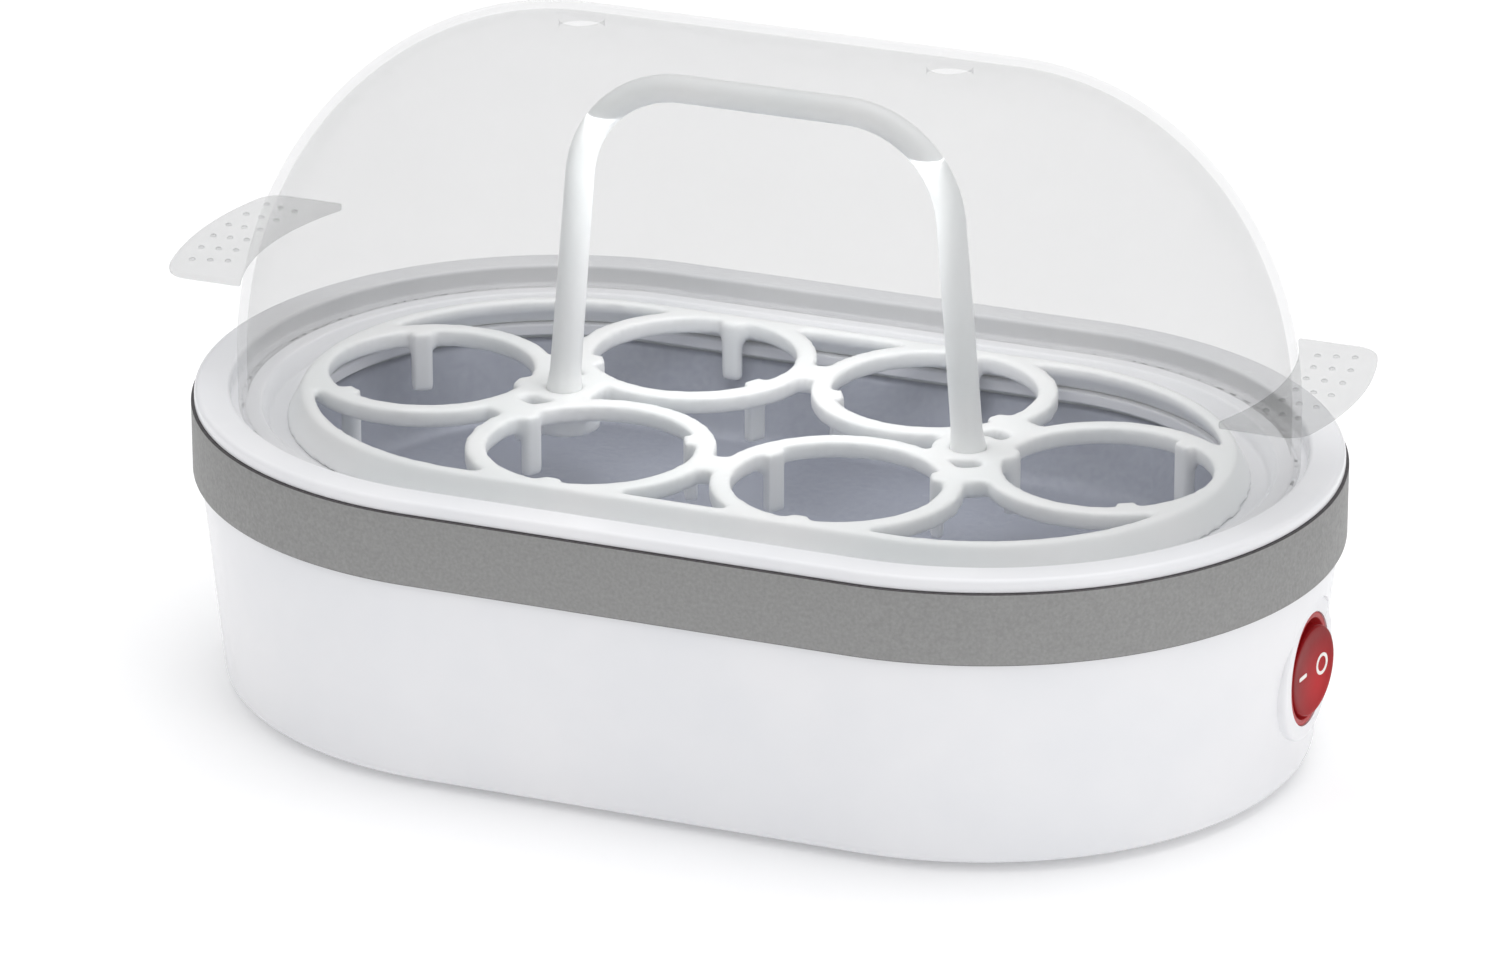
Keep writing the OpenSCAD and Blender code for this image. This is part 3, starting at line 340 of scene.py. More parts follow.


# the rocker: darker red at the rim, and lighter red with a weak emission near the lamp's place, all painted lamp
# light
FINISH["pc_red"] = red_with_painted_lamp_glow("polycarbonate_red_painted_glow", "#7A080D", "#B3171D", 0.05)
# the switch cup is white nylon; this red colour and emission are the lamp's glow in its well, painted
well_red_painted_glow = red_with_painted_lamp_glow("nylon_red_painted_glow", "#9C3A3C", "#B02A2E", 0.12)
print("red finishes:", FINISH["pc_red"].name, well_red_painted_glow.name)

# %% [markdown]
# ## Finishes for the carried-over parts
# Every part of the CAD model belongs to a material slot in the record. Most are hidden in the
# base and keep their CAD shape, so here each one simply gets the finish of its slot.

# %% Dress the CAD parts
slot_of = {part["node"]: part["material_slot"] for part in frame["record"]["subparts"]}
for node, obj in frame["nodes"].items():
    obj.data.materials.clear()
    obj.data.materials.append(FINISH[slot_of[node]])
unknown = set(slot_of.values()) - set(FINISH)
print(len(slot_of), "CAD parts dressed; slots without a finish:", unknown)

# %% [markdown]
# ## Outlines with rounded corners
# Moulded and pressed parts are drawn as a section with a few corners, and each corner has a
# radius. This helper takes the corners and their radii and rounds each one, so the outlines
# below list only the corners.

# %% Rounded outlines
def rounded(corners, steps=5, closed=True):
    """Corners are (r, z, radius). At a corner p with unit arms a and b and half angle h, the curve
    starts radius/tan(h) along a, ends that far along b, and is the quadratic
    (1-t)^2 s + 2t(1-t) p + t^2 e between them. A corner with radius 0 stays one point."""
    points = np.array([[c[0], c[1]] for c in corners], float)
    out = []
    for i, (p, (_, _, radius)) in enumerate(zip(points, corners)):
        at_end = not closed and i in (0, len(corners) - 1)
        if radius == 0 or at_end:
            out.append(p)
            continue
        arm_in = points[i - 1] - p
        arm_out = points[(i + 1) % len(points)] - p
        a, b = arm_in / np.linalg.norm(arm_in), arm_out / np.linalg.norm(arm_out)
        half_angle = math.acos(np.clip(a @ b, -1, 1)) / 2
        shorter = min(np.linalg.norm(arm_in), np.linalg.norm(arm_out))
        reach = min(radius / math.tan(half_angle), 0.49 * shorter)
        start, end = p + a * reach, p + b * reach
        t = np.linspace(0, 1, steps + 1)[:, None]
        out.extend((1 - t) ** 2 * start + 2 * t * (1 - t) * p + t ** 2 * end)
    return np.array(out)


square = rounded([(0, 0, 1), (9, 0, 1), (9, 9, 1), (0, 9, 1)])
print("a square with round corners has", len(square), "points")

# %% [markdown]
# ## Surfaces on a grid
# Most pieces are one profile carried along one path. The grid has the path's stations in one
# direction and the profile's points in the other, and each face joins four neighbours. Points
# that fall together at a pole or a ridge are merged, which leaves the skin closed.

# %% Surfaces on a grid
def grid_faces(rows, columns, wrap_rows, wrap_columns):
    """Quads (i,j), (i+1,j), (i+1,j+1), (i,j+1) of a grid, wrapped round where asked."""
    i = np.arange(rows if wrap_rows else rows - 1)[:, None]
    j = np.arange(columns if wrap_columns else columns - 1)[None, :]
    i2, j2 = (i + 1) % rows, (j + 1) % columns
    quads = np.stack(np.broadcast_arrays(
        i * columns + j, i2 * columns + j, i2 * columns + j2, i * columns + j2), axis=-1)
    return quads.reshape(-1, 4)


def make_piece(name, parts, smooth_deg=32):
    """One object from (points in mm, faces) parts, doubles merged and normals turned outwards."""
    mesh = bpy.data.meshes.new(name)
    offset, points, faces = 0, [], []
    for part_points, part_faces in parts:
        points.append(np.asarray(part_points, float).reshape(-1, 3))
        faces.extend([tuple(int(v) + offset for v in face) for face in part_faces])
        offset += len(points[-1])
    mesh.from_pydata((np.vstack(points) * MM).tolist(), [], faces)
    bm = bmesh.new()
    bm.from_mesh(mesh)
    bmesh.ops.remove_doubles(bm, verts=bm.verts, dist=0.002 * MM)
    bmesh.ops.dissolve_degenerate(bm, edges=bm.edges, dist=0.001 * MM)
    bmesh.ops.recalc_face_normals(bm, faces=bm.faces)
    bm.to_mesh(mesh)
    bm.free()
    obj = bpy.data.objects.new(name, mesh)
    bpy.context.scene.collection.objects.link(obj)
    soften(obj, smooth_deg)
    return obj


def soften(obj, smooth_deg):
    """Smooth shading, with an edge kept crisp where its faces turn by more than smooth_deg."""
    mesh = obj.data
    mesh.polygons.foreach_set("use_smooth", np.ones(len(mesh.polygons), bool))
    mesh.set_sharp_from_angle(angle=math.radians(smooth_deg))
    mesh.update()


def oval_stations(per_end=72, per_side=24):
    """Stations round the oval as (centre x, direction x, direction y). Each end is a half circle
    of directions about x = +half or -half, and each side moves the centre between them."""
    turn = np.linspace(-math.pi / 2, math.pi / 2, per_end)
    side = np.linspace(half, -half, per_side + 2)[1:-1]
    centre = np.concatenate([np.full(per_end, half), side, np.full(per_end, -half), -side])
    along = np.concatenate([np.cos(turn), 0 * side, -np.cos(turn), 0 * side])
    across = np.concatenate([np.sin(turn), 0 * side + 1, -np.sin(turn), 0 * side - 1])
    return centre, along, across


def oval_skin(profile, closed=True, stations=None):
    """P(u, v) = (centre(u) + r(v) along(u), r(v) across(u), z(v)) for a profile of (r, z)."""
    centre, along, across = stations or oval_stations()
    r, z = profile[:, 0], profile[:, 1]
    points = np.stack([
        centre[:, None] + along[:, None] * r,
        across[:, None] * r,
        np.broadcast_to(z, (len(centre), len(z))),
    ], axis=-1)
    return points, grid_faces(len(centre), len(r), True, closed)


def turned(profile, origin, axis="x", sides=96, closed=True):
    """P(u, v) = origin + h(v) axis + r(v) (cos u, sin u) in the plane across the axis, for a
    profile of (r, h)."""
    u = np.linspace(0, 2 * math.pi, sides, endpoint=False)
    r, h = profile[:, 0], np.broadcast_to(profile[:, 1], (sides, len(profile)))
    c, s = np.cos(u)[:, None] * r, np.sin(u)[:, None] * r
    order = {"x": (h, c, s), "y": (c, h, s), "z": (c, s, h)}[axis]
    return np.stack(order, axis=-1) + np.array(origin), grid_faces(sides, len(r), True, closed)


def settle(obj, smooth_deg):
    """Makes the result of the piece's modifiers its own mesh and softens it again."""
    seen = obj.evaluated_get(bpy.context.evaluated_depsgraph_get())
    mesh = bpy.data.meshes.new_from_object(seen)
    old, obj.data = obj.data, mesh
    obj.modifiers.clear()
    bpy.data.meshes.remove(old)
    soften(obj, smooth_deg)


def combine(obj, tool, operation, smooth_deg=32):
    """Cuts the tool out of obj, or joins it on, and removes the tool."""
    cutter = obj.modifiers.new("cut", "BOOLEAN")
    cutter.object, cutter.operation, cutter.solver = tool, operation, "EXACT"
    bpy.context.view_layer.update()
    settle(obj, smooth_deg)
    bpy.data.objects.remove(tool)


def dress(obj, slot, body, *nodes):
    """Gives a finished piece its material, body and the CAD nodes that it stands for."""
    if not obj.data.materials:
        obj.data.materials.append(FINISH[slot])
    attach(obj, body)
    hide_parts(*nodes)
    print(f"{obj.name}: {len(obj.data.polygons)} faces, stands for {', '.join(nodes)}")


# %% [markdown]
# ## Housing
# The housing is an upside-down tub: it leans outwards to the band and its lower edge is rounded.
# A flat round pad carries the switch. The wall leans and the pad doesn't, so the pad stands proud
# at its lower edge and sinks into a shallow round recess at its upper edge. The wall is a profile
# carried round the oval; pad, recess and hole are joined on and cut out, as the mould does it.

# %% Housing
SHELL = 2.4                  # wall of the housing
BAND_T, GAP = 1.2, 0.2       # sheet of the band, and the play between band and housing
BAND_LIP = 1.0
FOOT_IN, FOOT_LEDGE = 5.3, 5.0
FOOT_EDGE_R = 4.4            # radius of the lower edge
FINE = 0.3                   # radius of an edge that is only broken
shell_r = band_r - BAND_T - GAP
shell_in_r = shell_r - SHELL
lip_z = band_top - BAND_LIP
foot_r, foot_z = band_r - FOOT_IN, housing_low[2]
ledge_r = foot_r - FOOT_LEDGE
housing_wall = rounded([
    (ledge_r, foot_z, FINE), (foot_r, foot_z, FOOT_EDGE_R), (shell_r, band_z, 0.6),
    (shell_r, lip_z, FINE), (shell_in_r, lip_z, FINE), (shell_in_r, band_z, 0.5),
    (foot_r - SHELL + 0.6, foot_z + SHELL + 1, 2.0), (ledge_r, foot_z + SHELL, FINE)], steps=8)
fine_ends = oval_stations(per_end=144, per_side=24)
housing = make_piece("base_housing_shell", [oval_skin(housing_wall, stations=fine_ends)])

PAD_R, PAD_EDGE_R = 13.5, 1.0
RECESS_H, RECESS_DRAFT = 8, 0.7
CUP_FLANGE = 1.2             # how far the switch body's rear flange stands out from its cup
cup_r = (switch_high[2] - switch_low[2]) / 2 - CUP_FLANGE
hole_r = cup_r + 0.1
pad_front, pad_back = switch_high[0] + 0.2, switch_high[0] - 5
CUT = 5                      # how far a cutting tool reaches past what it cuts
switch_at = (0, 0, switch_z)
recess = make_piece("recess", [turned(np.array([
    (0, pad_front), (PAD_R, pad_front), (PAD_R + RECESS_DRAFT, pad_front + RECESS_H),
    (0, pad_front + RECESS_H)]), switch_at, closed=False)])
combine(housing, recess, "DIFFERENCE")
pad = make_piece("pad", [turned(rounded([
    (0, pad_back, 0), (PAD_R - 0.02, pad_back, 0), (PAD_R - 0.02, pad_front, PAD_EDGE_R),
    (0, pad_front, 0)], closed=False, steps=6), switch_at, closed=False)])
combine(housing, pad, "UNION")
hole = make_piece("hole", [turned(np.array([
    (0, pad_back - CUT), (hole_r, pad_back - CUT), (hole_r, pad_front + CUT),
    (0, pad_front + CUT)]), switch_at, closed=False)])
combine(housing, hole, "DIFFERENCE")
print("switch pad", 2 * PAD_R, "mm across, its face at x =", round(pad_front, 1))

# %% [markdown]
# ## Cord entry
# The cord leaves through the back wall. A thicker round pad there gives the strain relief a flat
# face to sit on. It is joined to the wall and bored in the same way.

# %% Cord entry
gland_low, gland_high = node_box("cord_gland")
gland_at = ((gland_low[0] + gland_high[0]) / 2, 0, (gland_low[2] + gland_high[2]) / 2)
flange_r = (gland_high[0] - gland_low[0]) / 2
FLANGE_T = 2.0
gland_face = gland_high[1] - FLANGE_T
GLAND_PAD_R, GLAND_PAD_T = 10, 6.5
CORD_R, BUSH_R, BUSH_HOLE_R = 3.3, 5.0, 5.1
gland_pad = make_piece("gland_pad", [turned(rounded([
    (0, gland_face - GLAND_PAD_T, 0), (GLAND_PAD_R, gland_face - GLAND_PAD_T, 0),
    (GLAND_PAD_R, gland_face, 0.8), (0, gland_face, 0)], closed=False),
    gland_at, "y", closed=False)])
combine(housing, gland_pad, "UNION")
bore_in, bore_out = gland_face - GLAND_PAD_T - CUT, gland_face + CUT
bore = make_piece("bore", [turned(np.array([
    (0, bore_in), (BUSH_HOLE_R, bore_in), (BUSH_HOLE_R, bore_out), (0, bore_out)]),
    gland_at, "y", closed=False)])
combine(housing, bore, "DIFFERENCE")
dress(housing, "abs_white", "base", "base_housing")

gland = make_piece("strain_relief_bush", [turned(rounded([
    (CORD_R, gland_low[1], FINE), (BUSH_R, gland_low[1], 0.5), (BUSH_R, gland_face, 0.2),
    (flange_r, gland_face, FINE), (flange_r, gland_high[1], 0.9),
    (CORD_R + 1, gland_high[1], 0.5), (CORD_R, gland_high[1] - 1, 0.4)]), gland_at, "y")])
dress(gland, "pa_white", "base", "cord_gland")

# %% [markdown]
# ## Band
# A strip of lacquered steel, rolled to the oval, with a lip over the housing's upper edge. It
# stands 1.4 mm proud of the housing, so its lower edge throws a thin dark line. Its outer edges
# are only slightly broken, and a darker steel along its lower and upper edge is a painted shadow line.

# %% Band
PAINTED_SHADOW_W = 0.2                 # height of the dark strip at each band edge, a painted shadow line
CUT_EDGE_R = 0.35
band_in_r = band_r - BAND_T
band = make_piece("trim_band_strip", [oval_skin(rounded([
    (band_r, band_z, CUT_EDGE_R), (band_r, band_top, FINE), (shell_in_r, band_top, 0.2),
    (shell_in_r, lip_z, 0.2), (band_in_r, lip_z, FINE), (band_in_r, band_z, CUT_EDGE_R)],
    steps=4), stations=fine_ends)])
band.data.materials.append(FINISH["satin_silver"])
band.data.materials.append(band_edge_painted_shadow)
height = np.zeros(len(band.data.vertices) * 3)
band.data.vertices.foreach_get("co", height)
height = height.reshape(-1, 3)[:, 2] / MM
corner_count = np.array([face.loop_total for face in band.data.polygons])
corners = np.zeros(corner_count.sum(), int)
band.data.loops.foreach_get("vertex_index", corners)
face_z = np.add.reduceat(height[corners], np.cumsum(corner_count) - corner_count) / corner_count
# faces within that height of the lower or upper edge take the darker steel: the painted shadow line
in_painted_shadow = (face_z < band_z + PAINTED_SHADOW_W) | (face_z > band_top - PAINTED_SHADOW_W)
band.data.polygons.foreach_set("material_index", in_painted_shadow.astype(int))
print(int(in_painted_shadow.sum()), "faces of the band are its painted shadow line")
dress(band, "satin_silver", "base", "trim_band")

# %% [markdown]
# ## Collar
# The white collar closes the base. Its rim has a large soft outer edge, then comes a ledge for the
# lid, a steep wall down to the tray's seat, and a skirt that hides inside the housing.

# %% Collar
WALL = 2.2                   # wall of the collar
SEAL_T = 1.2                 # silicone ring between the dish and the collar
RIM_IN, RIM_EDGE_R = 0.6, 2.0
RIM_W, LID_LEDGE_W, WELL_LEAN, TRAY_LEDGE_W = 7.3, 5.7, 1.6, 6.4
SKIRT_H = 10.5
rim_top = collar_high[2]
rim_r = band_r - RIM_IN
well_r = band_r - RIM_W
seat_z, tray_seat_z = lid_low[2], plate_high[2] + SEAL_T + WALL
well_top_r = well_r - LID_LEDGE_W
well_foot_r = well_top_r - WELL_LEAN
seat_in_r = well_foot_r - TRAY_LEDGE_W
skirt_out, skirt_z = shell_in_r - GAP, band_top - SKIRT_H
collar = make_piece("top_collar_moulding", [oval_skin(rounded([
    (rim_r, band_top, 0.2), (rim_r, rim_top, RIM_EDGE_R), (well_r, rim_top, 0.9),
    (well_r, seat_z, 0.5), (well_top_r, seat_z, 0.8), (well_foot_r, tray_seat_z, 0.8),
    (seat_in_r, tray_seat_z, 0.5), (seat_in_r, tray_seat_z - WALL, FINE),
    (well_foot_r + WALL, tray_seat_z - WALL, 0.8), (well_top_r + WALL, seat_z - WALL, 0.5),
    (skirt_out - WALL, seat_z - WALL, 0.5), (skirt_out - WALL, skirt_z, FINE),
    (skirt_out, skirt_z, FINE), (skirt_out, band_top, 0.2)],
    steps=6), stations=fine_ends)])
dress(collar, "abs_white", "base", "top_collar")

# %% [markdown]
# ## Water dish
# The dish is pressed from one sheet and coated slate grey. The profile starts and ends on the
# middle line, where the two sides meet, so the sheet closes without a hole.

# %% Water dish
SHEET = 1.0
SLOPE_W = 5.5                # how far the flat floor ends inside the tray's ledge
dish_z, dish_top = plate_low[2], plate_low[2] + SHEET
flange_z, flange_top = plate_high[2] - SHEET, plate_high[2]
dish_flat_r = seat_in_r - SLOPE_W
plate_r = (plate_high[1] - plate_low[1]) / 2
dish = make_piece("heating_dish", [oval_skin(rounded([
    (0, dish_top, 0), (dish_flat_r, dish_top, 5.0), (seat_in_r + 1, flange_top, 2.0),
    (plate_r, flange_top, FINE), (plate_r, flange_z, FINE), (seat_in_r + 1.6, flange_z, 1.5),
    (dish_flat_r + 0.6, dish_z, 5.5), (0, dish_z, 0)], closed=False, steps=8), closed=False)])
dress(dish, "steel_plate", "base", "heating_plate")

# %% [markdown]
# ## Egg tray
# The tray is one moulding: a leaning skirt, six rings with ribs that the eggs rest on, webs
# between them, and two sockets for the handle. Where they meet, the mould leaves soft fillets.
# Fillets between so many bodies are hard to write as one formula, so a copy of the CAD tray is
# turned into an even skin of small squares, and that skin is relaxed, which rounds every edge
# and corner by about as much as a real mould does.

# %% Egg tray
def skin_of(node, name, square_mm, rounds):
    """A copy of a CAD node, merged, remeshed in squares of square_mm and relaxed in rounds."""
    obj = bpy.data.objects.new(name, frame["nodes"][node].data.copy())
    bpy.context.scene.collection.objects.link(obj)
    obj.data.materials.clear()
    bm = bmesh.new()
    bm.from_mesh(obj.data)
    bmesh.ops.remove_doubles(bm, verts=bm.verts, dist=0.002 * MM)
    bm.to_mesh(obj.data)
    bm.free()
    squares = obj.modifiers.new("squares", "REMESH")
    squares.mode, squares.voxel_size = "VOXEL", square_mm * MM
    relax = obj.modifiers.new("relax", "SMOOTH")
    relax.factor, relax.iterations = 0.5, rounds
    bpy.context.view_layer.update()
    settle(obj, 180)
    return obj


TRAY_SQUARE, TRAY_ROUNDS = 0.75, 4
tray = skin_of("egg_tray", "egg_tray_moulding", TRAY_SQUARE, TRAY_ROUNDS)
dress(tray, "pp_milky", "rack", "egg_tray")

# %% [markdown]
# ## Hoop handle
# A rod that is thick where it enters the tray and thinner above. Its middle line lies in one
# plane: up a leg that leans inwards, round a bend and along a bar, then the same mirrored. The
# skin is a circle carried along that line, with flat ends that hide in the tray's sockets.

# %% Hoop handle
BAR_TO_FOOT = 5.2 / 6.6      # diameter of the bar over that of the leg's foot
LEG_TAPER = 0.35             # how much thicker the leg's radius is at the tray than at the bar
BEND, LEAN = 20.5, math.radians(4.8)
foot_rod_r = (handle_high[1] - handle_low[1]) / 2
rod_r = foot_rod_r * BAR_TO_FOOT
bar_z = handle_high[2] - rod_r
leg_x = handle_high[0] - foot_rod_r
tray_top = tray_high[2]
bend_foot_z = bar_z - BEND + BEND * math.sin(LEAN)
bend_x = leg_x - (bend_foot_z - tray_top) * math.tan(LEAN) - BEND * math.cos(LEAN)
leg_z = np.linspace(tray_top, bend_foot_z, 14)
turn = np.linspace(LEAN, math.pi / 2, 18)[1:]
line_x = np.concatenate([
    [leg_x, leg_x], leg_x - (leg_z - tray_top) * math.tan(LEAN), bend_x + BEND * np.cos(turn)])
line_z = np.concatenate([
    [handle_low[2], tray_top - 0.5], leg_z, bar_z - BEND + BEND * np.sin(turn)])
line_x = np.concatenate([line_x, -line_x[::-1]])
line_z = np.concatenate([line_z, line_z[::-1]])


def rod(x, z, radius, sides=40):
    """P(u, v) = line(u) + radius(u) (cos v normal(u) + sin v (0, 1, 0)), the line lying in XZ.
    The first and last station are repeated with radius 0, which closes the ends."""
    x, z = np.concatenate([x[:1], x, x[-1:]]), np.concatenate([z[:1], z, z[-1:]])
    radius = np.concatenate([[0], radius, [0]])
    dx, dz = np.gradient(x), np.gradient(z)
    dx[:2], dz[:2], dx[-2:], dz[-2:] = 0, 1, 0, -1
    length = np.hypot(dx, dz)
    v = np.linspace(0, 2 * math.pi, sides, endpoint=False)
    points = np.stack([
        x[:, None] + radius[:, None] * np.cos(v) * (dz / length)[:, None],
        radius[:, None] * np.sin(v),
        z[:, None] - radius[:, None] * np.cos(v) * (dx / length)[:, None],
    ], axis=-1)
    return points, grid_faces(len(x), sides, False, True)


down = np.clip((bar_z - line_z) / (bar_z - tray_top), 0, 1)
thick = np.where(line_z < tray_top + 0.1, foot_rod_r, rod_r + LEG_TAPER * down)
handle = make_piece("hoop_handle_rod", [rod(line_x, line_z, thick)])
dress(handle, "pp_milky", "rack", "tray_handle")

# %% [markdown]
# ## Lid
# The lid is a thin shell: a low upright wall that turns into a quarter of an ellipse, a little
# taller than it is wide, and meets the other side in a ridge. The section starts on the ridge
# outside, runs down, round the lower edge and back up inside. Both ends lie on the ridge, where
# the two sides merge. Two steam holes are drilled through the ridge.

# %% Lid shell
LID_T = 1.8
SPRING_DROP = 6.5            # how far below a half circle's foot the curve begins
STEAM_R, STEAM_X = 4.25, 36
lid_r, lid_top = (lid_high[1] - lid_low[1]) / 2, lid_high[2]
dome_z = lid_top - lid_r
spring_z = dome_z - SPRING_DROP
dome_h = lid_top - spring_z
in_r, in_h = lid_r - LID_T, dome_h - LID_T
rise = np.linspace(math.pi / 2, 0, 40)
outside = np.stack([lid_r * np.cos(rise), spring_z + dome_h * np.sin(rise)], axis=-1)
inside = np.stack([in_r * np.cos(rise), spring_z + in_h * np.sin(rise)], axis=-1)[::-1]
edge = rounded([
    (lid_r, spring_z, 0), (lid_r, seat_z, 0.6), (in_r, seat_z, 0.6), (in_r, spring_z, 0)],
    closed=False, steps=4)
lid_section = np.concatenate([outside, edge[1:-1], inside])
lid_section[[0, -1], 0] = 0.0
lid_skin = oval_skin(lid_section, closed=False, stations=oval_stations(per_end=96, per_side=24))
lid = make_piece("lid_shell", [lid_skin], smooth_deg=40)
for sx in (-1, 1):
    drill = make_piece("drill", [turned(np.array([
        (0, lid_top - 4 * CUT), (STEAM_R, lid_top - 4 * CUT), (STEAM_R, lid_top + CUT),
        (0, lid_top + CUT)]), (sx * STEAM_X, 0, 0), "z", closed=False)])
    combine(lid, drill, "DIFFERENCE", 40)
dress(lid, "ps_clear", "lid", "lid")

# %% [markdown]
# ## Grips
# Two flat ears stand out from the lid's ends. Their plan is a slice of a ring with rounded outer
# corners, and their top has rows of small raised dots so that wet fingers don't slip.

# %% Grips
GRIP_T, GRIP_W, CORNER = 1.6, 45.0, 5.0
GRIP_UP, GRIP_ROOT = 5.5, 0.9    # place above the half circle's foot, and depth in the lid's wall
GRIP_EDGE_R = 0.45
DOT_ROWS, DOTS_A_ROW, DOT_STEP, DOT_PITCH, DOT_MARGIN = 3, 6, math.radians(5.5), 3.4, 4
DOT = np.array([(0.65, 0), (0.6, 0.25), (0.35, 0.42), (0, 0.45)])    # its profile
DOT_SUNK = 0.02
grip_z = dome_z + GRIP_UP
grip_r = lid_high[0] - half
inner_y = GRIP_W / 2 - CORNER
corner_x = math.sqrt((grip_r - CORNER) ** 2 - inner_y ** 2)
swing = math.atan2(inner_y, corner_x)


def grip_outline():
    """Counter-clockwise plan about the end's centre: the inner arc along the lid's wall, a corner
    arc of radius CORNER that starts square to the side, the outer arc, and the second corner."""
    outer = np.linspace(-swing, swing, 28)
    corner = np.linspace(-math.pi / 2, -swing, 8)[:-1]
    low = np.stack([corner_x + CORNER * np.cos(corner), -inner_y + CORNER * np.sin(corner)], -1)
    arc = np.stack([grip_r * np.cos(outer), grip_r * np.sin(outer)], -1)
    high = (low * [1, -1])[::-1]
    hug = lid_r - GRIP_ROOT
    reach = math.asin(GRIP_W / 2 / hug)
    wall = np.linspace(reach, -reach, 28)
    return np.concatenate([low, arc, high, np.stack([hug * np.cos(wall), hug * np.sin(wall)], -1)])


plan = grip_outline()
grip_parts = []
for sx in (-1, 1):
    flat = np.stack([sx * (half + plan[:, 0]), plan[:, 1]], -1)
    n = len(flat)
    points = np.concatenate([np.c_[flat, np.full(n, z)] for z in (grip_z, grip_z + GRIP_T)])
    walls = [(k, (k + 1) % n, n + (k + 1) % n, n + k) for k in range(n)]
    grip_parts.append((points, walls + [tuple(range(n))[::-1], tuple(range(n, 2 * n))]))
grips = make_piece("lid_grips", grip_parts)
soft_edge = grips.modifiers.new("edge", "BEVEL")
soft_edge.width, soft_edge.segments = GRIP_EDGE_R * MM, 3
soft_edge.angle_limit = math.radians(50)
bpy.context.view_layer.update()
settle(grips, 30)
dots = []
dot_z = grip_z + GRIP_T - DOT_SUNK
for sx in (-1, 1):
    for row in range(DOT_ROWS):
        for j in range(DOTS_A_ROW):
            a = (j - (DOTS_A_ROW - 1) / 2) * DOT_STEP
            reach = grip_r - DOT_MARGIN - row * DOT_PITCH
            foot = (sx * (half + reach * math.cos(a)), reach * math.sin(a), dot_z)
            dots.append(turned(DOT, foot, "z", 12, closed=False))
grip_dots = make_piece("lid_grip_dots", dots)
for piece in (grips, grip_dots):
    piece.data.materials.append(ps_frosted)
    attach(piece, "lid")
print("grips", round(grip_r, 1), "mm from the end's centre, with", len(dots), "dots")

# %% [markdown]
# ## Switch
# The switch body is a cup that snaps in behind the pad; only its rim and the inside of its well
# show. The lamp's glow in the well is painted, as a red colour with a weak emission on the nylon cup.
# The rocker is a thick red disc with a broken edge, tilted so that its near side is pressed in. Its
# face is very slightly dished for the finger.

# %% Switch
pivot = np.array([f["pos_m"] for f in frame["joints"] if f["name"] == "rocker_tilt"][0]) / MM
CUP_T, CUP_FLOOR, CUP_EDGE_R = 1.1, 1.5, 0.25
cup_front, cup_back = switch_high[0] - pivot[0], -14.0
cup = make_piece("switch_cup", [turned(rounded([
    (cup_r - CUP_T, cup_front, CUP_EDGE_R), (cup_r, cup_front, CUP_EDGE_R), (cup_r, cup_back, FINE),
    (0, cup_back, 0), (0, cup_back + CUP_FLOOR, 0),
    (cup_r - CUP_T, cup_back + CUP_FLOOR, FINE)]), pivot)])
# painted lamp glow: the whole cup takes the red, faintly emitting finish in place of white nylon
cup.data.materials.append(well_red_painted_glow)
dress(cup, "pa_white", "base", "switch_housing")

ROCK = math.radians(-8)
ROCKER_R, FACE = 8.5, 5.0    # radius, and height of the face's rim over the pivot
SKIRT_X = -1.5               # lower edge of the disc
DISH_R, DISH_DEPTH = 7.6, 0.35


def tilted(points):
    """Turns points given in the rocker's own frame by ROCK about Z and moves them to the pivot."""
    c, s = math.cos(ROCK), math.sin(ROCK)
    x, y, z = points[..., 0], points[..., 1], points[..., 2]
    return np.stack([c * x - s * y, s * x + c * y, z], -1) + pivot


def dished(y, z):
    """Height of the rocker's face: FACE - DISH_DEPTH (1 - rho^2 / DISH_R^2) inside its rim."""
    return FACE - DISH_DEPTH * np.clip(1 - (y ** 2 + z ** 2) / DISH_R ** 2, 0, 1)


rim = rounded([
    (0, SKIRT_X, 0), (ROCKER_R, SKIRT_X, 0.4), (ROCKER_R, FACE, 0.9), (DISH_R, FACE, 0)],
    closed=False, steps=6)
hollow = np.linspace(DISH_R - 0.4, 0, 10)
lens = np.concatenate([rim, np.stack([hollow, dished(hollow, 0)], -1)])
points, faces = turned(lens, (0, 0, 0), closed=False)
rocker = make_piece("rocker_lens", [(tilted(points), faces)])
dress(rocker, "pc_red", "rocker", "switch_rocker")


MARK_PROUD, MARK_DEEP = 0.05, 0.3
MARK_Y = 3.83                # distance of each mark from the face's middle
RING_IN, RING_OUT = 1.45, 2.1
BAR_HALF = np.array([1.6, 0.4])


def mark(outline_in, outline_out):
    """A closed strip between two outlines in the face's plane, MARK_PROUD over the dished face and
    MARK_DEEP into it."""
    rings = []
    for flat, lift in ((outline_in, -MARK_DEEP), (outline_in, MARK_PROUD),
                       (outline_out, MARK_PROUD), (outline_out, -MARK_DEEP)):
        rings.append(np.c_[dished(flat[:, 0], flat[:, 1]) + lift, flat])
    return tilted(np.stack(rings, 1)), grid_faces(len(outline_in), 4, True, True)


around = np.linspace(0, 2 * math.pi, 48, endpoint=False)
unit = np.stack([np.cos(around), np.sin(around)], -1)
off = mark(unit * RING_IN + [MARK_Y, 0], unit * RING_OUT + [MARK_Y, 0])
# the bar is a superellipse, nearly a rectangle with round corners
bar_shape = np.sign(unit) * np.abs(unit) ** 0.35 * BAR_HALF - [MARK_Y, 0]
on = mark(bar_shape * 0 - [MARK_Y, 0], bar_shape)
marks = make_piece("rocker_marks_print", [off, on])
dress(marks, "mark_white", "rocker", "rocker_marks")

# %% [markdown]
# ## Floor, light and background
# A plain pale floor and a wide soft light from above, a weaker one from each side and a bright
# surrounding, as in a small light tent. The paper glows faintly, so that it stays white under
# the shadows, and a small lamp below the handle's bar lights the tray, since much of the light
# is lost on its way through the lid. The view is kept neutral so that white stays white.

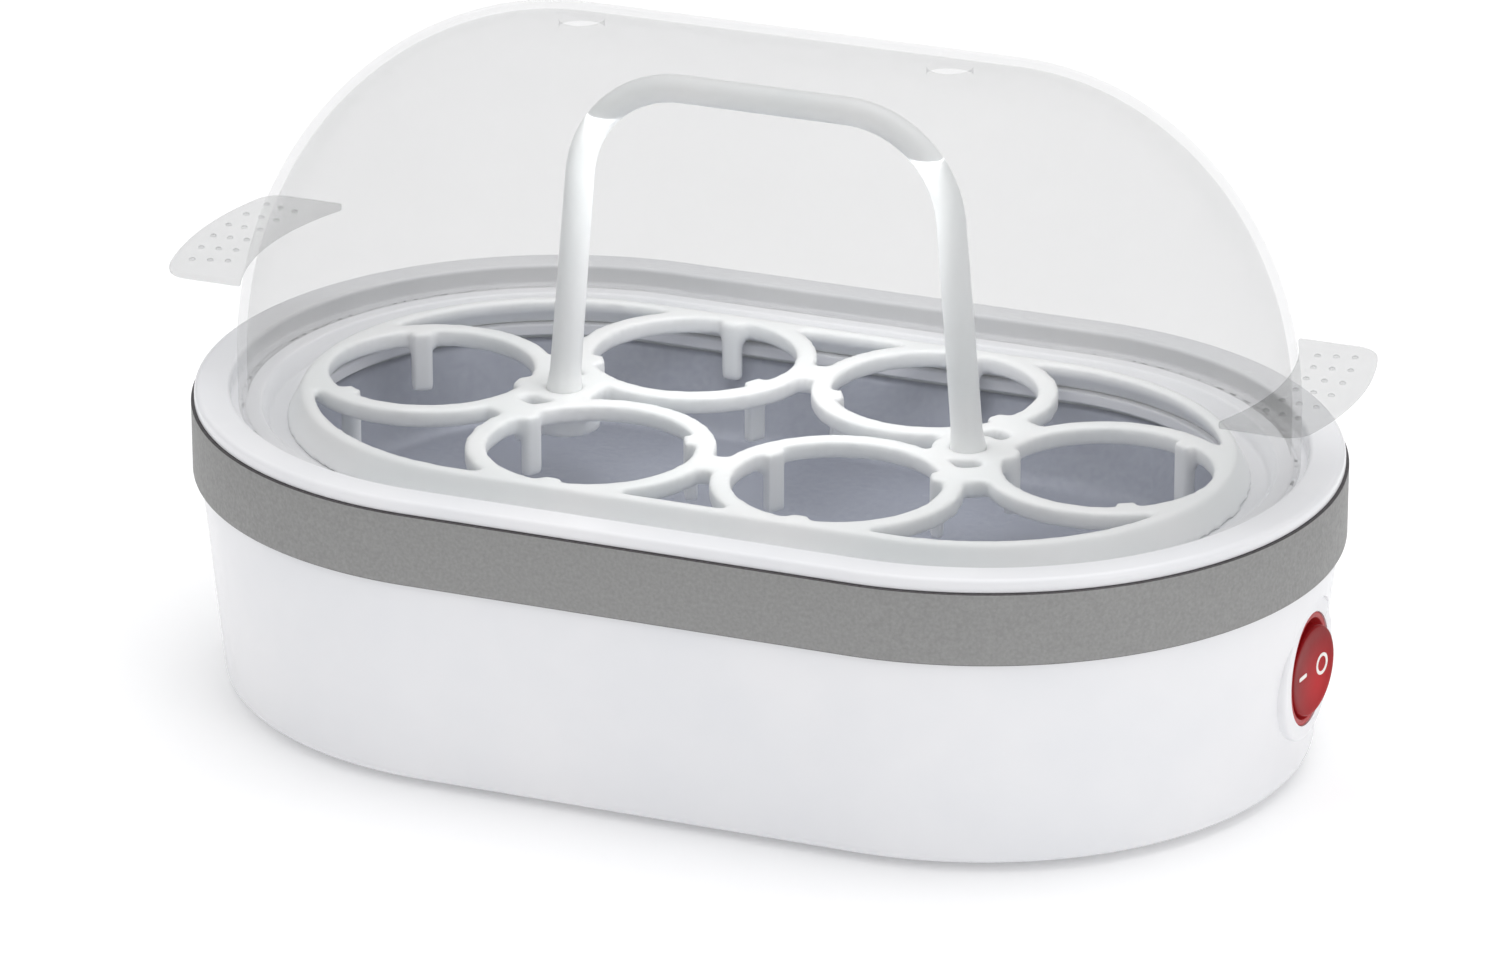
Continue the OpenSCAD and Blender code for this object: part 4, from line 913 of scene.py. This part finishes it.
# %% Studio
FLOOR_HALF = 6000
floor_corners = np.array([[-1, -1, 0], [1, -1, 0], [1, 1, 0], [-1, 1, 0]]) * FLOOR_HALF
floor = make_piece("floor", [(floor_corners, [(0, 1, 2, 3)])])
material, tree, output, place = new_material("floor_paper")
paper = add(tree, "ShaderNodeBsdfPrincipled", {
    "Base Color": two_tints(tree, mottle(tree, place, 300, 0, 1), "#FDFDFD", "#FAFAFB"),
    "Roughness": 0.9, "Emission Color": linear("#FFFFFF"), "Emission Strength": 0.14})
tree.links.new(paper.outputs["BSDF"], output.inputs["Surface"])
floor.data.materials.append(material)


def soft_light(name, place_m, aim_m, size_m, watts):
    """A square area light at place_m that looks at aim_m. A light looks along its own -Z, so it is
    tipped by acos(-d_z) and turned by atan2(d_y, d_x) - pi/2, where d is its unit direction."""
    light = bpy.data.lights.new(name, "AREA")
    light.size, light.energy = size_m, watts
    lamp = bpy.data.objects.new(name, light)
    way = np.array(aim_m) - np.array(place_m)
    way = way / np.linalg.norm(way)
    lamp.location = place_m
    lamp.rotation_euler = (math.acos(-way[2]), 0, math.atan2(way[1], way[0]) - math.pi / 2)
    bpy.context.scene.collection.objects.link(lamp)
    return lamp


MIDDLE = (0, 0, 0.05)
lamps = [
    soft_light("top_box", (0.1, 0.2, 1.3), MIDDLE, 1.1, 6),
    soft_light("left_box", (-1.3, -0.7, 0.7), MIDDLE, 0.7, 1.2),
    soft_light("right_box", (1.35, -0.7, 0.5), MIDDLE, 0.7, 3.1),
]
fill = soft_light("fill_under_dome", (0, 0, 0.112), (0, 0, 0), 0.045, 0.03)
fill.data.shape, fill.data.size_y = "RECTANGLE", 0.07
fill.visible_camera = fill.visible_glossy = False
lamps.append(fill)
HORIZON, ZENITH = 0.28, 0.86    # strength of the surrounding at eye level and overhead
world = bpy.data.worlds.new("tent")
world.use_nodes = True
sky = world.node_tree
look = add(sky, "ShaderNodeTexCoord").outputs["Generated"]
way_up = add(sky, "ShaderNodeSeparateXYZ", {"Vector": look})
brightness = add(sky, "ShaderNodeMapRange", {
    "Value": way_up.outputs["Z"], "From Min": 0.0, "From Max": 0.9,
    "To Min": HORIZON, "To Max": ZENITH})
background = sky.nodes["Background"]
background.inputs["Color"].default_value = (0.995, 0.995, 1.0, 1)
sky.links.new(brightness.outputs["Result"], background.inputs["Strength"])
bpy.context.scene.world = world
bpy.context.scene.view_settings.view_transform = "Standard"
print(len(lamps), "lights")
